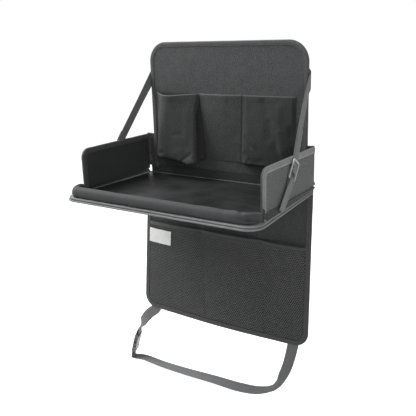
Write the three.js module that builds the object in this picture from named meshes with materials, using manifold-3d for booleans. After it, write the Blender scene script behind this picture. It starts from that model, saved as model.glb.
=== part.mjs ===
// Car seat organizer with a fold-down table: a stiffened upper panel with pockets, a tray with side
// wings and a padded front wall, and a soft lower panel with a mesh pocket and a buckled strap.
// Millimetres, +Z up, -Y is the front, +X is the right-hand side seen from the front.
// The origin is on the rear face of the upper panel, on the centre line, level with the tray's surface.
import * as THREE from 'three';
import { mergeVertices } from 'three/addons/utils/BufferGeometryUtils.js';
import Module from 'manifold-3d';

// Cloth, boards and clearances
const gap = 0.3;
const clothThickness = 1.2;
const boardThickness = 2.4;
const tapeThickness = 0.8;
const tapeBand = 10;
const arcSteps = 7;
const cutOverrun = 2;

// Upper panel
const upperHalfWidth = 188.5;
const upperTop = 289;
const upperBottom = -10;
const upperCornerRadius = 42;

// Fold between the panels and the lower panel
const foldSeamRadius = 2.7;
const foldSeamEndRoom = 2.5;
const foldSeamHalfLength = upperHalfWidth - foldSeamEndRoom;
const foldSeamSides = 16;
const lowerHalfWidth = 210;
const lowerLength = 318;
const lowerBow = 6;
const lowerBowRadius = 2600;
const lowerCornerRadius = 32;
const lowerEarRise = 18;
const lowerEarGap = 2;
const lowerLean = THREE.MathUtils.degToRad(6.8);

// Tray
const traySideRoom = 16.5;
const trayFlare = 15.5;
const trayRearHalfWidth = upperHalfWidth + traySideRoom;
const trayFrontHalfWidth = trayRearHalfWidth + trayFlare;
const trayRear = -9.2;
const trayFront = -270.5;
const trayCornerRadius = 31;
const trayBoardThickness = 3.6;
const flangeWidth = 11.5;
const flangeTapeThickness = 2.9;
const trayHingeHeight = 20;
const gussetEndRoom = 4.5;
const gussetHalfLength = upperHalfWidth - gussetEndRoom;

// Front wall, a padded roll that stands on the tray
const wallHeight = 19.5;
const wallThickness = 19;
const wallInset = 12.6;
const wallCrown = 0.55;
const wallEndGap = 1.6;
const wallEndTaperLength = 12;
const wallEndShare = 0.72;
const wallArcSteps = 9;

// Side wings
const wingInset = 1;
const wingOffset = trayRearHalfWidth - wingInset;
const wingRear = 8.4;
const wingFront = 222;
const wingBottom = 8;
const wingTop = 88;
const wingCornerRadius = 19;
const wingCoverThickness = 0.8;
const wingBoardThickness = 2.0;
const wingTapeBand = 11;
const wingTapeThickness = 0.7;
const sideGussetTop = 9.4;
const sideGussetKnee = 7.4;
const sideGussetInset = 4.2;
const sideGussetSteps = 8;

// Corner strips that close the rear corners between the panel and the wings
const cornerStripBottom = 12;
const cornerStripInset = 2.6;

// Bottle pockets and the flat pocket between them
const pocketTop = 182.5;
const pocketSeam = 43;
const pocketCornerRadius = 7;
const pocketLevels = 8;
const pocketCornerSteps = 3;
const pocketDepth = 44;
const hemDip = 2.2;
const pocketBulge = 3;
const flatPocketGape = 5.6;
const flatPocketGap = 0.8;
const flatPocketSteps = 12;
const flatPocketLevels = 6;

// Mesh pocket on the lower panel
const meshTop = -105.5;
const meshThickness = 0.8;
const meshGape = 9.5;
const meshHemHeight = 10;
const meshHemThickness = 1.3;
const meshSeamTop = [-53, 97];
const meshSeamDrift = 14;
const meshSteps = 36;
const meshLevels = 9;
const careTagSize = [58, 33];
const careTagTop = -122;
const careTagThickness = 0.3;
const careTagSteps = 14;

// Support straps and their adjusters
const supportWidth = 20;
const supportThickness = 1.2;
const strapCornerHeight = 214.5;
const strapAdjusterTop = [-101.4, 81.4];
const strapBackLength = 50;
const strapWrap = 13.5;
const strapSlack = { left: 0, right: 12 };
const strapTailLength = { left: 24, right: 62 };
const strapTrayEnd = [-168, -2];
const strapEndInset = 1.6;
const strapStepsPerSpan = 5;
const adjusterStand = 4.7;
const adjusterPlace = [-113.5, 63.8];
const adjusterLean = 0.7;
const adjusterHalfLength = 19.5;
const adjusterHalfWidth = 13.4;
const adjusterRail = 2.8;
const adjusterBar = 4;
const adjusterMiddleBar = 3.2;
const adjusterThickness = 2.6;
const adjusterCornerRadius = 5;
const adjusterEdge = 0.4;
const adjusterArcSteps = 4;

// Bottom strap, headrest strap and the two side-release buckles
const webbingWidth = 25;
const webbingThickness = 1.4;
const loopDrop = 137;
const loopReach = 231;
const loopBack = 6;
const buckleWidth = 33;
const buckleThickness = 9.4;
const socketLength = 32;
const plugLength = 18;
const buckleBar = 2.6;
const buckleSlot = 4.2;
const buckleBarThickness = 4;
const buckleWall = 2.2;
const buckleCavityHeight = 5.2;
const buckleTaper = 2.4;
const buckleRound = 3.2;
const buckleEdge = 0.8;
const buckleArcSteps = 3;
const windowNear = 11.5;
const windowFar = 24;
const windowHeight = 4.4;
const prongThickness = 4.4;
const prongPivot = [10, 30.7];
const prongRoot = 1.6;
const prongRootSteps = 6;
const prongShoulder = 18;
const prongTip = 12.2;
const prongCatch = 0.9;
const tongueWidth = 3.4;
const tongueThickness = 3;
const tongueTip = 14;
const headrestDrop = 27;
const headrestHeight = upperTop - headrestDrop;
const headrestAnchorShare = 0.68;
const headrestAnchor = upperHalfWidth * headrestAnchorShare;
const headrestSewn = 26;
const headrestSlack = 13;

const wasm = await Module();
wasm.setup();

const palette = {
  cloth: new THREE.MeshStandardMaterial({ color: 0x2b2c2e, roughness: 0.9, metalness: 0 }),
  lining: new THREE.MeshStandardMaterial({ color: 0x232425, roughness: 0.92, metalness: 0 }),
  coated: new THREE.MeshStandardMaterial({ color: 0x1f2021, roughness: 0.55, metalness: 0 }),
  board: new THREE.MeshStandardMaterial({ color: 0x3a3b3c, roughness: 0.6, metalness: 0 }),
  tape: new THREE.MeshStandardMaterial({ color: 0x4a4b4d, roughness: 0.85, metalness: 0 }),
  mesh: new THREE.MeshStandardMaterial({ color: 0x2a2b2c, roughness: 0.8, metalness: 0 }),
  webbing: new THREE.MeshStandardMaterial({ color: 0x434447, roughness: 0.8, metalness: 0 }),
  plastic: new THREE.MeshStandardMaterial({ color: 0x3c3d40, roughness: 0.4, metalness: 0 }),
  tag: new THREE.MeshStandardMaterial({ color: 0xe4e4e2, roughness: 0.85, metalness: 0 }),
};

const organizer = new THREE.Group();

function addPart(parent, name, geometry, material) {
  const mesh = new THREE.Mesh(geometry, material);
  mesh.name = name;
  parent.add(mesh);
  return mesh;
}

// Turns triangles so that the closed surface encloses a positive volume
function closedGeometry(positions, triangles) {
  let volume = 0;
  for (const [a, b, c] of triangles) {
    volume += positions[a].dot(new THREE.Vector3().crossVectors(positions[b], positions[c]));
  }
  const ordered = volume < 0 ? triangles.map(([a, b, c]) => [a, c, b]) : triangles;
  const geometry = new THREE.BufferGeometry();
  const coordinates = positions.flatMap((point) => point.toArray());
  geometry.setAttribute('position', new THREE.Float32BufferAttribute(coordinates, 3));
  geometry.setIndex(ordered.flat());
  return geometry;
}

// Triangles of a flat or nearly flat ring of points
function capTriangles(ring) {
  const normal = new THREE.Vector3();
  ring.forEach((point, i) => {
    normal.add(new THREE.Vector3().crossVectors(point, ring[(i + 1) % ring.length]));
  });
  normal.normalize();
  const across = new THREE.Vector3(0, 0, 1);
  if (Math.abs(normal.z) > 0.9) {
    across.set(1, 0, 0);
  }
  const right = new THREE.Vector3().crossVectors(across, normal).normalize();
  const up = new THREE.Vector3().crossVectors(normal, right);
  const flat = ring.map((point) => new THREE.Vector2(point.dot(right), point.dot(up)));
  return THREE.ShapeUtils.triangulateShape(flat, []);
}

// Skin over a row of rings that have the same number of points, closed at both ends.
// Ends of unlike shape have caps of their own.
function loft(rings, ownCaps = false) {
  const size = rings[0].length;
  const triangles = [];
  for (let r = 0; r + 1 < rings.length; r += 1) {
    for (let i = 0; i < size; i += 1) {
      const next = (i + 1) % size;
      const [a, b] = [r * size + i, r * size + next];
      triangles.push([a, b, b + size], [a, b + size, a + size]);
    }
  }
  const last = (rings.length - 1) * size;
  const lastCap = ownCaps ? capTriangles(rings[rings.length - 1]) : capTriangles(rings[0]);
  capTriangles(rings[0]).forEach(([a, b, c]) => triangles.push([a, c, b]));
  lastCap.forEach(([a, b, c]) => triangles.push([last + a, last + b, last + c]));
  return closedGeometry(rings.flat(), triangles);
}

// Straight stretches joined by arcs: each corner is [x, y, radius]
function roundedLine(corners, closed, steps = arcSteps) {
  const points = [];
  corners.forEach(([x, y, radius], i) => {
    const here = new THREE.Vector2(x, y);
    const isEnd = !closed && (i === 0 || i === corners.length - 1);
    if (isEnd || !radius) {
      points.push(here);
      return;
    }
    const [bx, by] = corners[(i + corners.length - 1) % corners.length];
    const [ax, ay] = corners[(i + 1) % corners.length];
    const before = new THREE.Vector2(bx, by).sub(here).normalize();
    const after = new THREE.Vector2(ax, ay).sub(here).normalize();
    const half = Math.acos(THREE.MathUtils.clamp(before.dot(after), -1, 1)) / 2;
    const middle = before.clone().add(after).normalize();
    const centre = here.clone().addScaledVector(middle, radius / Math.sin(half));
    const reach = radius / Math.tan(half);
    const start = here.clone().addScaledVector(before, reach).sub(centre);
    const end = here.clone().addScaledVector(after, reach).sub(centre);
    const turn = Math.atan2(start.cross(end), start.dot(end));
    for (let k = 0; k <= steps; k += 1) {
      const spoke = start.clone().rotateAround(new THREE.Vector2(), (turn * k) / steps);
      points.push(centre.clone().add(spoke));
    }
  });
  return points;
}

// Unit tangents of a line of points
function tangentsOf(line) {
  return line.map((point, i) => {
    const before = line[Math.max(i - 1, 0)];
    const after = line[Math.min(i + 1, line.length - 1)];
    const arriving = point.clone().sub(before).normalize();
    const leaving = after.clone().sub(point).normalize();
    return arriving.add(leaving).normalize();
  });
}

// The same line moved to its right-hand side, with mitred corners
function offsetLine(line, distance) {
  const tangents = tangentsOf(line);
  return line.map((point, i) => {
    const neighbour = i === 0 ? line[1].clone().sub(point) : point.clone().sub(line[i - 1]);
    const miter = Math.max(neighbour.normalize().dot(tangents[i]), 0.5);
    const side = new THREE.Vector2(tangents[i].y, -tangents[i].x);
    return point.clone().addScaledVector(side, distance / miter);
  });
}

// A section of [outward, height] points carried along a flat line that runs anticlockwise
function edgeSweep(line, section, sizeShareAt = () => 1) {
  const rails = section.map(([outward]) => outward);
  const lengths = [0];
  line.slice(1).forEach((point, i) => lengths.push(lengths[i] + point.distanceTo(line[i])));
  const total = lengths[lengths.length - 1];
  const middleOut = (Math.max(...rails) + Math.min(...rails)) / 2;
  const foot = Math.min(...section.map(([, height]) => height));
  const lines = rails.map((outward) => offsetLine(line, outward));
  const centreLine = offsetLine(line, middleOut);
  return loft(line.map((point, i) => {
    const share = sizeShareAt(lengths[i], total);
    return section.map(([, height], k) => {
      const at = centreLine[i].clone().lerp(lines[k][i], share);
      return new THREE.Vector3(at.x, at.y, foot + (height - foot) * share);
    });
  }));
}

// A U of tape over a stack that lies between two heights
function tapeSection(low, high, band, thickness) {
  const chamfer = thickness / 2;
  const outerLow = low - gap - thickness;
  const outerHigh = high + gap + thickness;
  return [
    [-band, high + gap], [-thickness, high + gap], [-thickness, low - gap], [-band, low - gap],
    [-band, outerLow], [-chamfer, outerLow], [0, outerLow + chamfer],
    [0, outerHigh - chamfer], [-chamfer, outerHigh], [-band, outerHigh],
  ];
}

function plate(line, low, high) {
  const shape = new THREE.Shape(line);
  const geometry = new THREE.ExtrudeGeometry(shape, { depth: high - low, bevelEnabled: false });
  return geometry.translate(0, 0, low);
}

// A closed sheet between a front surface and a back surface given over u across and v down
function sheet(across, down, surface) {
  const positions = [];
  for (const side of [0, 1]) {
    for (let j = 0; j <= down; j += 1) {
      for (let i = 0; i <= across; i += 1) {
        positions.push(surface(i / across, j / down, side));
      }
    }
  }
  const layer = (across + 1) * (down + 1);
  const at = (i, j, side) => side * layer + j * (across + 1) + i;
  const triangles = [];
  const quad = (a, b, c, d) => triangles.push([a, b, c], [a, c, d]);
  for (let j = 0; j < down; j += 1) {
    for (let i = 0; i < across; i += 1) {
      quad(at(i, j, 0), at(i + 1, j, 0), at(i + 1, j + 1, 0), at(i, j + 1, 0));
      quad(at(i, j, 1), at(i, j + 1, 1), at(i + 1, j + 1, 1), at(i + 1, j, 1));
    }
  }
  for (let i = 0; i < across; i += 1) {
    quad(at(i, 0, 0), at(i, 0, 1), at(i + 1, 0, 1), at(i + 1, 0, 0));
    quad(at(i, down, 0), at(i + 1, down, 0), at(i + 1, down, 1), at(i, down, 1));
  }
  for (let j = 0; j < down; j += 1) {
    quad(at(0, j, 0), at(0, j + 1, 0), at(0, j + 1, 1), at(0, j, 1));
    quad(at(across, j, 0), at(across, j, 1), at(across, j + 1, 1), at(across, j + 1, 0));
  }
  return closedGeometry(positions, triangles);
}

// Flat webbing along a route of [point, width direction, held section] stations. Where webbing goes
// round an edge at an angle, the held section lies along that edge, as long as the slanted cut.
function ribbon(stations, width, thickness) {
  const curve = new THREE.CatmullRomCurve3(stations.map(([point]) => point), false, 'centripetal');
  const spans = stations.length - 1;
  const steps = spans * strapStepsPerSpan;
  const rings = [];
  for (let k = 0; k <= steps; k += 1) {
    const t = k / steps;
    const span = Math.min(Math.floor(t * spans), spans - 1);
    const along = curve.getTangent(t);
    const spanShare = t * spans - span;
    const across = stations[span][1].clone().lerp(stations[span + 1][1], spanShare);
    across.addScaledVector(along, -across.dot(along)).normalize();
    const face = new THREE.Vector3().crossVectors(along, across);
    const [heldBefore, heldAfter] = [stations[span][2], stations[span + 1][2]];
    if (heldBefore || heldAfter) {
      const holdShare = THREE.MathUtils.lerp(heldBefore ? 1 : 0, heldAfter ? 1 : 0, spanShare);
      across.lerp(heldBefore ?? heldAfter, holdShare);
      face.crossVectors(along, across).normalize();
    }
    const centre = curve.getPoint(t);
    rings.push([[1, 1], [-1, 1], [-1, -1], [1, -1]].map(([side, layer]) => centre.clone()
      .addScaledVector(across, (side * width) / 2)
      .addScaledVector(face, (layer * thickness) / 2)));
  }
  return loft(rings);
}

// Cuts and joins of closed meshes
function toSolid(geometry) {
  const bare = geometry.clone();
  bare.deleteAttribute('normal');
  bare.deleteAttribute('uv');
  const merged = mergeVertices(bare);
  return new wasm.Manifold(new wasm.Mesh({
    numProp: 3,
    vertProperties: new Float32Array(merged.attributes.position.array),
    triVerts: new Uint32Array(merged.index.array),
  }));
}

function fromSolid(solid) {
  const mesh = solid.getMesh();
  const geometry = new THREE.BufferGeometry();
  geometry.setAttribute('position', new THREE.BufferAttribute(new Float32Array(mesh.vertProperties), 3));
  geometry.setIndex(new THREE.BufferAttribute(new Uint32Array(mesh.triVerts), 1));
  return geometry;
}

function combine(base, { add = [], cut = [] }) {
  let solid = toSolid(base);
  add.forEach((geometry) => { solid = solid.add(toSolid(geometry)); });
  cut.forEach((geometry) => { solid = solid.subtract(toSolid(geometry)); });
  return fromSolid(solid);
}

function boxBetween([x0, y0, z0], [x1, y1, z1]) {
  const box = new THREE.BoxGeometry(x1 - x0, y1 - y0, z1 - z0);
  return box.translate((x0 + x1) / 2, (y0 + y1) / 2, (z0 + z1) / 2);
}

function placeOnAxes(group, origin, xAxis, yAxis) {
  const zAxis = new THREE.Vector3().crossVectors(xAxis, yAxis);
  group.quaternion.setFromRotationMatrix(new THREE.Matrix4().makeBasis(xAxis, yAxis, zAxis));
  group.position.copy(origin);
}

// Upper panel: a board between two cloth covers, bound with tape on three sides.
// Its group has +Y up and +Z to the front.
const upperStack = {
  back: [0, clothThickness],
  board: [clothThickness + gap, clothThickness + gap + boardThickness],
  front: [clothThickness + 2 * gap + boardThickness, 2 * clothThickness + 2 * gap + boardThickness],
};
const upperFace = upperStack.front[1];
const upperGroup = new THREE.Group();
upperGroup.rotation.x = Math.PI / 2;
organizer.add(upperGroup);

function upperCorners(inset, bottom = upperBottom) {
  const half = upperHalfWidth - inset;
  const top = upperTop - inset;
  const radius = upperCornerRadius - inset;
  return [[half, bottom, 0], [half, top, radius], [-half, top, radius], [-half, bottom, 0]];
}

const upperInset = tapeThickness + gap;
for (const [name, [low, high], material] of [
  ['upper_back_cover', upperStack.back, palette.lining],
  ['upper_board', upperStack.board, palette.board],
  ['upper_front_cover', upperStack.front, palette.cloth],
]) {
  addPart(upperGroup, name, plate(roundedLine(upperCorners(upperInset), true), low, high), material);
}
addPart(upperGroup, 'upper_binding', edgeSweep(
  roundedLine(upperCorners(0), false),
  tapeSection(0, upperFace, tapeBand, tapeThickness),
), palette.tape);

// Bellows pockets for bottles: a front, two side gussets and a floor, sewn to the panel at the back.
// Places across the panel are shares of its half width, depths are shares of the pocket depth.
const leftPocket = {
  rearLeftShares: [-0.922, -0.92],
  frontLeftShares: [-0.845, -0.862],
  frontRightShares: [-0.333, -0.29],
  rearRightShares: [-0.32, -0.244],
  leftDepthShares: [0.7, 0.74],
  rightDepthShares: [0.76, 0.9],
  floorDropShares: [0.11, 0.23],
};
const rightPocket = {
  rearLeftShares: [0.244, 0.236],
  frontLeftShares: [0.253, 0.272],
  frontRightShares: [0.845, 0.865],
  rearRightShares: [0.872, 0.88],
  leftDepthShares: [0.42, 0.68],
  rightDepthShares: [0.2, 0.34],
  floorDropShares: [0.1, 0.2],
};
const pocketBack = -upperFace - gap;

function pocketSection(pocket, share) {
  const mix = ([top, bottom]) => THREE.MathUtils.lerp(top, bottom, share);
  const depthAt = (shares) => pocketBack - mix(shares) * pocketDepth;
  const across = (shares) => mix(shares) * upperHalfWidth;
  const corners = [
    [across(pocket.rearLeftShares), pocketBack, 0],
    [across(pocket.frontLeftShares), depthAt(pocket.leftDepthShares), pocketCornerRadius],
    [(across(pocket.frontLeftShares) + across(pocket.frontRightShares)) / 2,
      (depthAt(pocket.leftDepthShares) + depthAt(pocket.rightDepthShares)) / 2
        - pocketBulge * Math.sin(Math.PI * share), 0],
    [across(pocket.frontRightShares), depthAt(pocket.rightDepthShares), pocketCornerRadius],
    [across(pocket.rearRightShares), pocketBack, 0],
  ];
  const outer = roundedLine(corners, false, pocketCornerSteps);
  const inner = offsetLine(outer, -clothThickness);
  inner[0].y = pocketBack;
  inner[inner.length - 1].y = pocketBack;
  return { outer, inner };
}

function bellowsPocket(pocket) {
  const left = pocket.frontLeftShares[0] * upperHalfWidth;
  const right = pocket.frontRightShares[0] * upperHalfWidth;
  const forward = (point) => THREE.MathUtils.clamp((pocketBack - point.y) / pocketDepth, 0, 1);
  const sideShare = (point) => THREE.MathUtils.clamp((point.x - left) / (right - left), 0, 1);
  const topAt = (point) => pocketTop - hemDip * forward(point) * Math.sin(Math.PI * sideShare(point));
  const floorAt = (point) => {
    const [leftDrop, rightDrop] = pocket.floorDropShares;
    const drop = THREE.MathUtils.lerp(leftDrop, rightDrop, sideShare(point)) * pocketDepth;
    return pocketSeam - drop * forward(point);
  };
  const rings = [];
  const raise = (point, share, lift = 0) => new THREE.Vector3(
    point.x, point.y, THREE.MathUtils.lerp(topAt(point), floorAt(point), share) + lift * share);
  for (let level = 0; level <= pocketLevels; level += 1) {
    const share = level / pocketLevels;
    const { outer, inner } = pocketSection(pocket, share);
    const lift = level === pocketLevels ? clothThickness : 0;
    rings.push([...outer, ...inner.reverse()].map((point) => raise(point, share, lift)));
  }
  const { outer, inner } = pocketSection(pocket, 1);
  const rearLine = inner.reverse().map((point) => new THREE.Vector2(point.x, pocketBack));
  const floorRing = [...outer, ...rearLine];
  rings.push(floorRing.map((point) => raise(point, 1, clothThickness - gap / 10)));
  rings.push(floorRing.map((point) => raise(point, 1)));
  return loft(rings, true);
}

addPart(organizer, 'bottle_pocket_left', bellowsPocket(leftPocket), palette.cloth);
addPart(organizer, 'bottle_pocket_right', bellowsPocket(rightPocket), palette.cloth);

// Flat pocket between the bottle pockets, slightly open at the top
addPart(organizer, 'flat_pocket', sheet(flatPocketSteps, flatPocketLevels, (u, v, side) => {
  const left = THREE.MathUtils.lerp(...leftPocket.rearRightShares, v) * upperHalfWidth + flatPocketGap;
  const right = THREE.MathUtils.lerp(...rightPocket.rearLeftShares, v) * upperHalfWidth - flatPocketGap;
  const open = flatPocketGape * Math.sin(Math.PI * u) * (1 - v * v);
  return new THREE.Vector3(
    THREE.MathUtils.lerp(left, right, u),
    pocketBack - open - side * clothThickness,
    THREE.MathUtils.lerp(pocketTop, pocketSeam, v),
  );
}), palette.cloth);

// Corner strips: cloth from the panel's edge to the rear end of each wing
const wingHalfThickness = wingCoverThickness + wingBoardThickness / 2 + gap;
const wingFace = wingHalfThickness + gap + wingTapeThickness;
for (const [name, side] of [['corner_strip_left', -1], ['corner_strip_right', 1]]) {
  const near = upperHalfWidth + gap;
  const far = wingOffset - wingFace - gap;
  const [x0, x1] = [side * near, side * far].sort((a, b) => a - b);
  addPart(organizer, name, boxBetween(
    [x0, -cornerStripInset - clothThickness, cornerStripBottom],
    [x1, -cornerStripInset, wingTop],
  ), palette.lining);
}

// Tray: a board between a coated top cover and a base cover, inside two bound seam edges
function trayHalfWidthAt(y) {
  const share = (trayRear - y) / (trayRear - trayFront);
  return THREE.MathUtils.lerp(trayRearHalfWidth, trayFrontHalfWidth, share);
}

function trayCorners(inset) {
  const rearHalf = trayRearHalfWidth - inset;
  const front = trayFront + inset;
  const frontHalf = trayHalfWidthAt(front) - inset;
  const radius = trayCornerRadius - inset;
  return [
    [-rearHalf, trayRear, 0], [-frontHalf, front, radius],
    [frontHalf, front, radius], [rearHalf, trayRear, 0],
  ];
}

// The covers' outline has a corner more on each side, level with the wings' front ends
function trayCoverCorners(inset) {
  const [rearLeft, frontLeft, frontRight, rearRight] = trayCorners(inset);
  const sideHalf = trayHalfWidthAt(-wingFront) - inset;
  const [sideLeft, sideRight] = [[-sideHalf, -wingFront, 0], [sideHalf, -wingFront, 0]];
  return [rearLeft, sideLeft, frontLeft, frontRight, sideRight, rearRight];
}

const trayTop = 0;
const trayBoardTop = trayTop - clothThickness - gap;
const trayBoardBottom = trayBoardTop - trayBoardThickness;
const trayBaseTop = trayBoardBottom - gap;
const trayBaseBottom = trayBaseTop - clothThickness;
const plateInset = flangeWidth + gap;
for (const [name, low, high, material] of [
  ['tray_top_cover', trayTop - clothThickness, trayTop, palette.coated],
  ['tray_board', trayBoardBottom, trayBoardTop, palette.board],
  ['tray_base_cover', trayBaseBottom, trayBaseTop, palette.cloth],
]) {
  addPart(organizer, name, plate(roundedLine(trayCoverCorners(plateInset), true), low, high), material);
}

function flangeSection(low) {
  const high = low + flangeTapeThickness;
  const round = flangeTapeThickness / 3;
  return [
    [-flangeWidth, high], [-flangeWidth, low], [-round, low],
    [0, low + round], [0, high - round], [-round, high],
  ];
}

const upperFlangeLow = trayTop - gap - flangeTapeThickness - clothThickness / 2;
const lowerFlangeLow = trayBaseBottom - flangeTapeThickness + clothThickness + gap;
const flangeLine = roundedLine(trayCorners(0), false);
addPart(organizer, 'tray_edge_upper', edgeSweep(flangeLine, flangeSection(upperFlangeLow)), palette.tape);
addPart(organizer, 'tray_edge_lower', edgeSweep(flangeLine, flangeSection(lowerFlangeLow)), palette.tape);

// Front wall: a padded roll along the front that turns both corners and ends at the wings
const wallStop = -wingFront - wallEndGap;
const wallRound = roundedLine(trayCorners(wallInset), false, wallArcSteps);
const wallSide = trayHalfWidthAt(wallStop) - wallInset;
const wallLine = [
  new THREE.Vector2(-wallSide, wallStop),
  ...wallRound.filter((point) => point.y < wallStop),
  new THREE.Vector2(wallSide, wallStop),
];
const wallProfileShares = [
  [-0.44, 0], [-0.5, 0.26], [-0.5, 0.6], [-0.42, 0.86], [-0.25, 0.98],
  [-0.04, 1], [0.16, 0.92], [0.33, 0.74], [0.45, 0.48], [0.51, 0.22], [0.48, 0],
];
addPart(organizer, 'front_wall', edgeSweep(
  wallLine,
  wallProfileShares.map(([out, up]) => [out * wallThickness, trayTop + gap + up * wallHeight]),
  (length, total) => {
    const fromEnd = Math.min(length, total - length);
    return THREE.MathUtils.lerp(wallEndShare, 1, Math.min(fromEnd / wallEndTaperLength, 1) ** wallCrown);
  },
), palette.cloth);

// Rear gusset: the cloth that joins the tray's rear edge to the panel, up to the fold line
const gussetBack = -upperFace - tapeThickness - 2 * gap;
addPart(organizer, 'rear_gusset', boxBetween(
  [-gussetHalfLength, gussetBack - clothThickness, trayTop + gap],
  [gussetHalfLength, gussetBack, trayHingeHeight],
), palette.lining);

// Side gussets: cloth from the tray's edge up to the foot of each wing
function sideGusset(side) {
  const rings = [];
  for (let k = 0; k <= sideGussetSteps; k += 1) {
    const y = THREE.MathUtils.lerp(-wingRear, -wingFront, k / sideGussetSteps);
    const knee = wingOffset + wingFace + gap;
    const foot = trayHalfWidthAt(y) - sideGussetInset;
    const low = trayTop - clothThickness / 2;
    const section = [
      [knee, sideGussetTop], [knee, sideGussetKnee], [foot, low],
      [foot + clothThickness, low], [knee + clothThickness, sideGussetKnee - clothThickness / 2],
      [knee + clothThickness, sideGussetTop],
    ];
    rings.push(section.map(([x, z]) => new THREE.Vector3(side * x, y, z)));
  }
  return loft(rings);
}
addPart(organizer, 'side_gusset_left', sideGusset(-1), palette.lining);
addPart(organizer, 'side_gusset_right', sideGusset(1), palette.lining);

// Wings: each a thin board between an inner and an outer cover, bound along its top and front.
// A wing's group has +X to the front, +Y up and +Z to the left.
function wingCorners(inset) {
  return [
    [wingFront - inset, wingBottom, 0],
    [wingFront - inset, wingTop - inset, wingCornerRadius - inset],
    [wingRear, wingTop - inset, 0],
  ];
}

for (const [label, side] of [['left', -1], ['right', 1]]) {
  const group = new THREE.Group();
  const toFront = new THREE.Vector3(0, -1, 0);
  const toTop = new THREE.Vector3(0, 0, 1);
  placeOnAxes(group, new THREE.Vector3(side * wingOffset, 0, 0), toFront, toTop);
  organizer.add(group);
  const outline = roundedLine([...wingCorners(wingTapeThickness + gap), [wingRear, wingBottom, 0]], true);
  const boardHalf = wingBoardThickness / 2;
  const layers = [
    ['inner', boardHalf + gap, wingHalfThickness],
    ['outer', -wingHalfThickness, -boardHalf - gap],
  ];
  for (const [layer, low, high] of layers) {
    const [z0, z1] = side < 0 ? [-high, -low] : [low, high];
    addPart(group, `wing_${label}_${layer}_cover`, plate(outline, z0, z1), palette.cloth);
  }
  addPart(group, `wing_${label}_board`, plate(outline, -boardHalf, boardHalf), palette.board);
  const section = tapeSection(-wingHalfThickness, wingHalfThickness, wingTapeBand, wingTapeThickness);
  const binding = edgeSweep(roundedLine(wingCorners(0), false), section);
  addPart(group, `wing_${label}_binding`, binding, palette.tape);
}

// Support straps: webbing from the panel's back to an adjuster outside each wing, with the tail
// turned back up, and a short sewn strap from the adjuster to the tray's edge
const adjusterAlong = new THREE.Vector3(0, adjusterLean, 1).normalize();
const adjusterOffset = wingOffset + wingFace + adjusterStand;

function adjusterShape() {
  const halfWidth = adjusterHalfWidth;
  const slotHalf = halfWidth - adjusterRail;
  const round = adjusterRail / 2;
  const frame = [[-1, -1], [1, -1], [1, 1], [-1, 1]].map(([x, y]) => [
    x * halfWidth, y * adjusterHalfLength, adjusterCornerRadius]);
  const shape = new THREE.Shape(roundedLine(frame, true, adjusterArcSteps));
  const upperSlot = [adjusterMiddleBar / 2, adjusterHalfLength - adjusterBar];
  const lowerSlot = [-adjusterHalfLength + adjusterBar, -adjusterMiddleBar / 2];
  for (const [low, high] of [upperSlot, lowerSlot]) {
    const hole = [[-slotHalf, low], [-slotHalf, high], [slotHalf, high], [slotHalf, low]];
    const corners = hole.map(([x, y]) => [x, y, round]);
    shape.holes.push(new THREE.Path(roundedLine(corners, true, adjusterArcSteps / 2)));
  }
  return shape;
}

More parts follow.
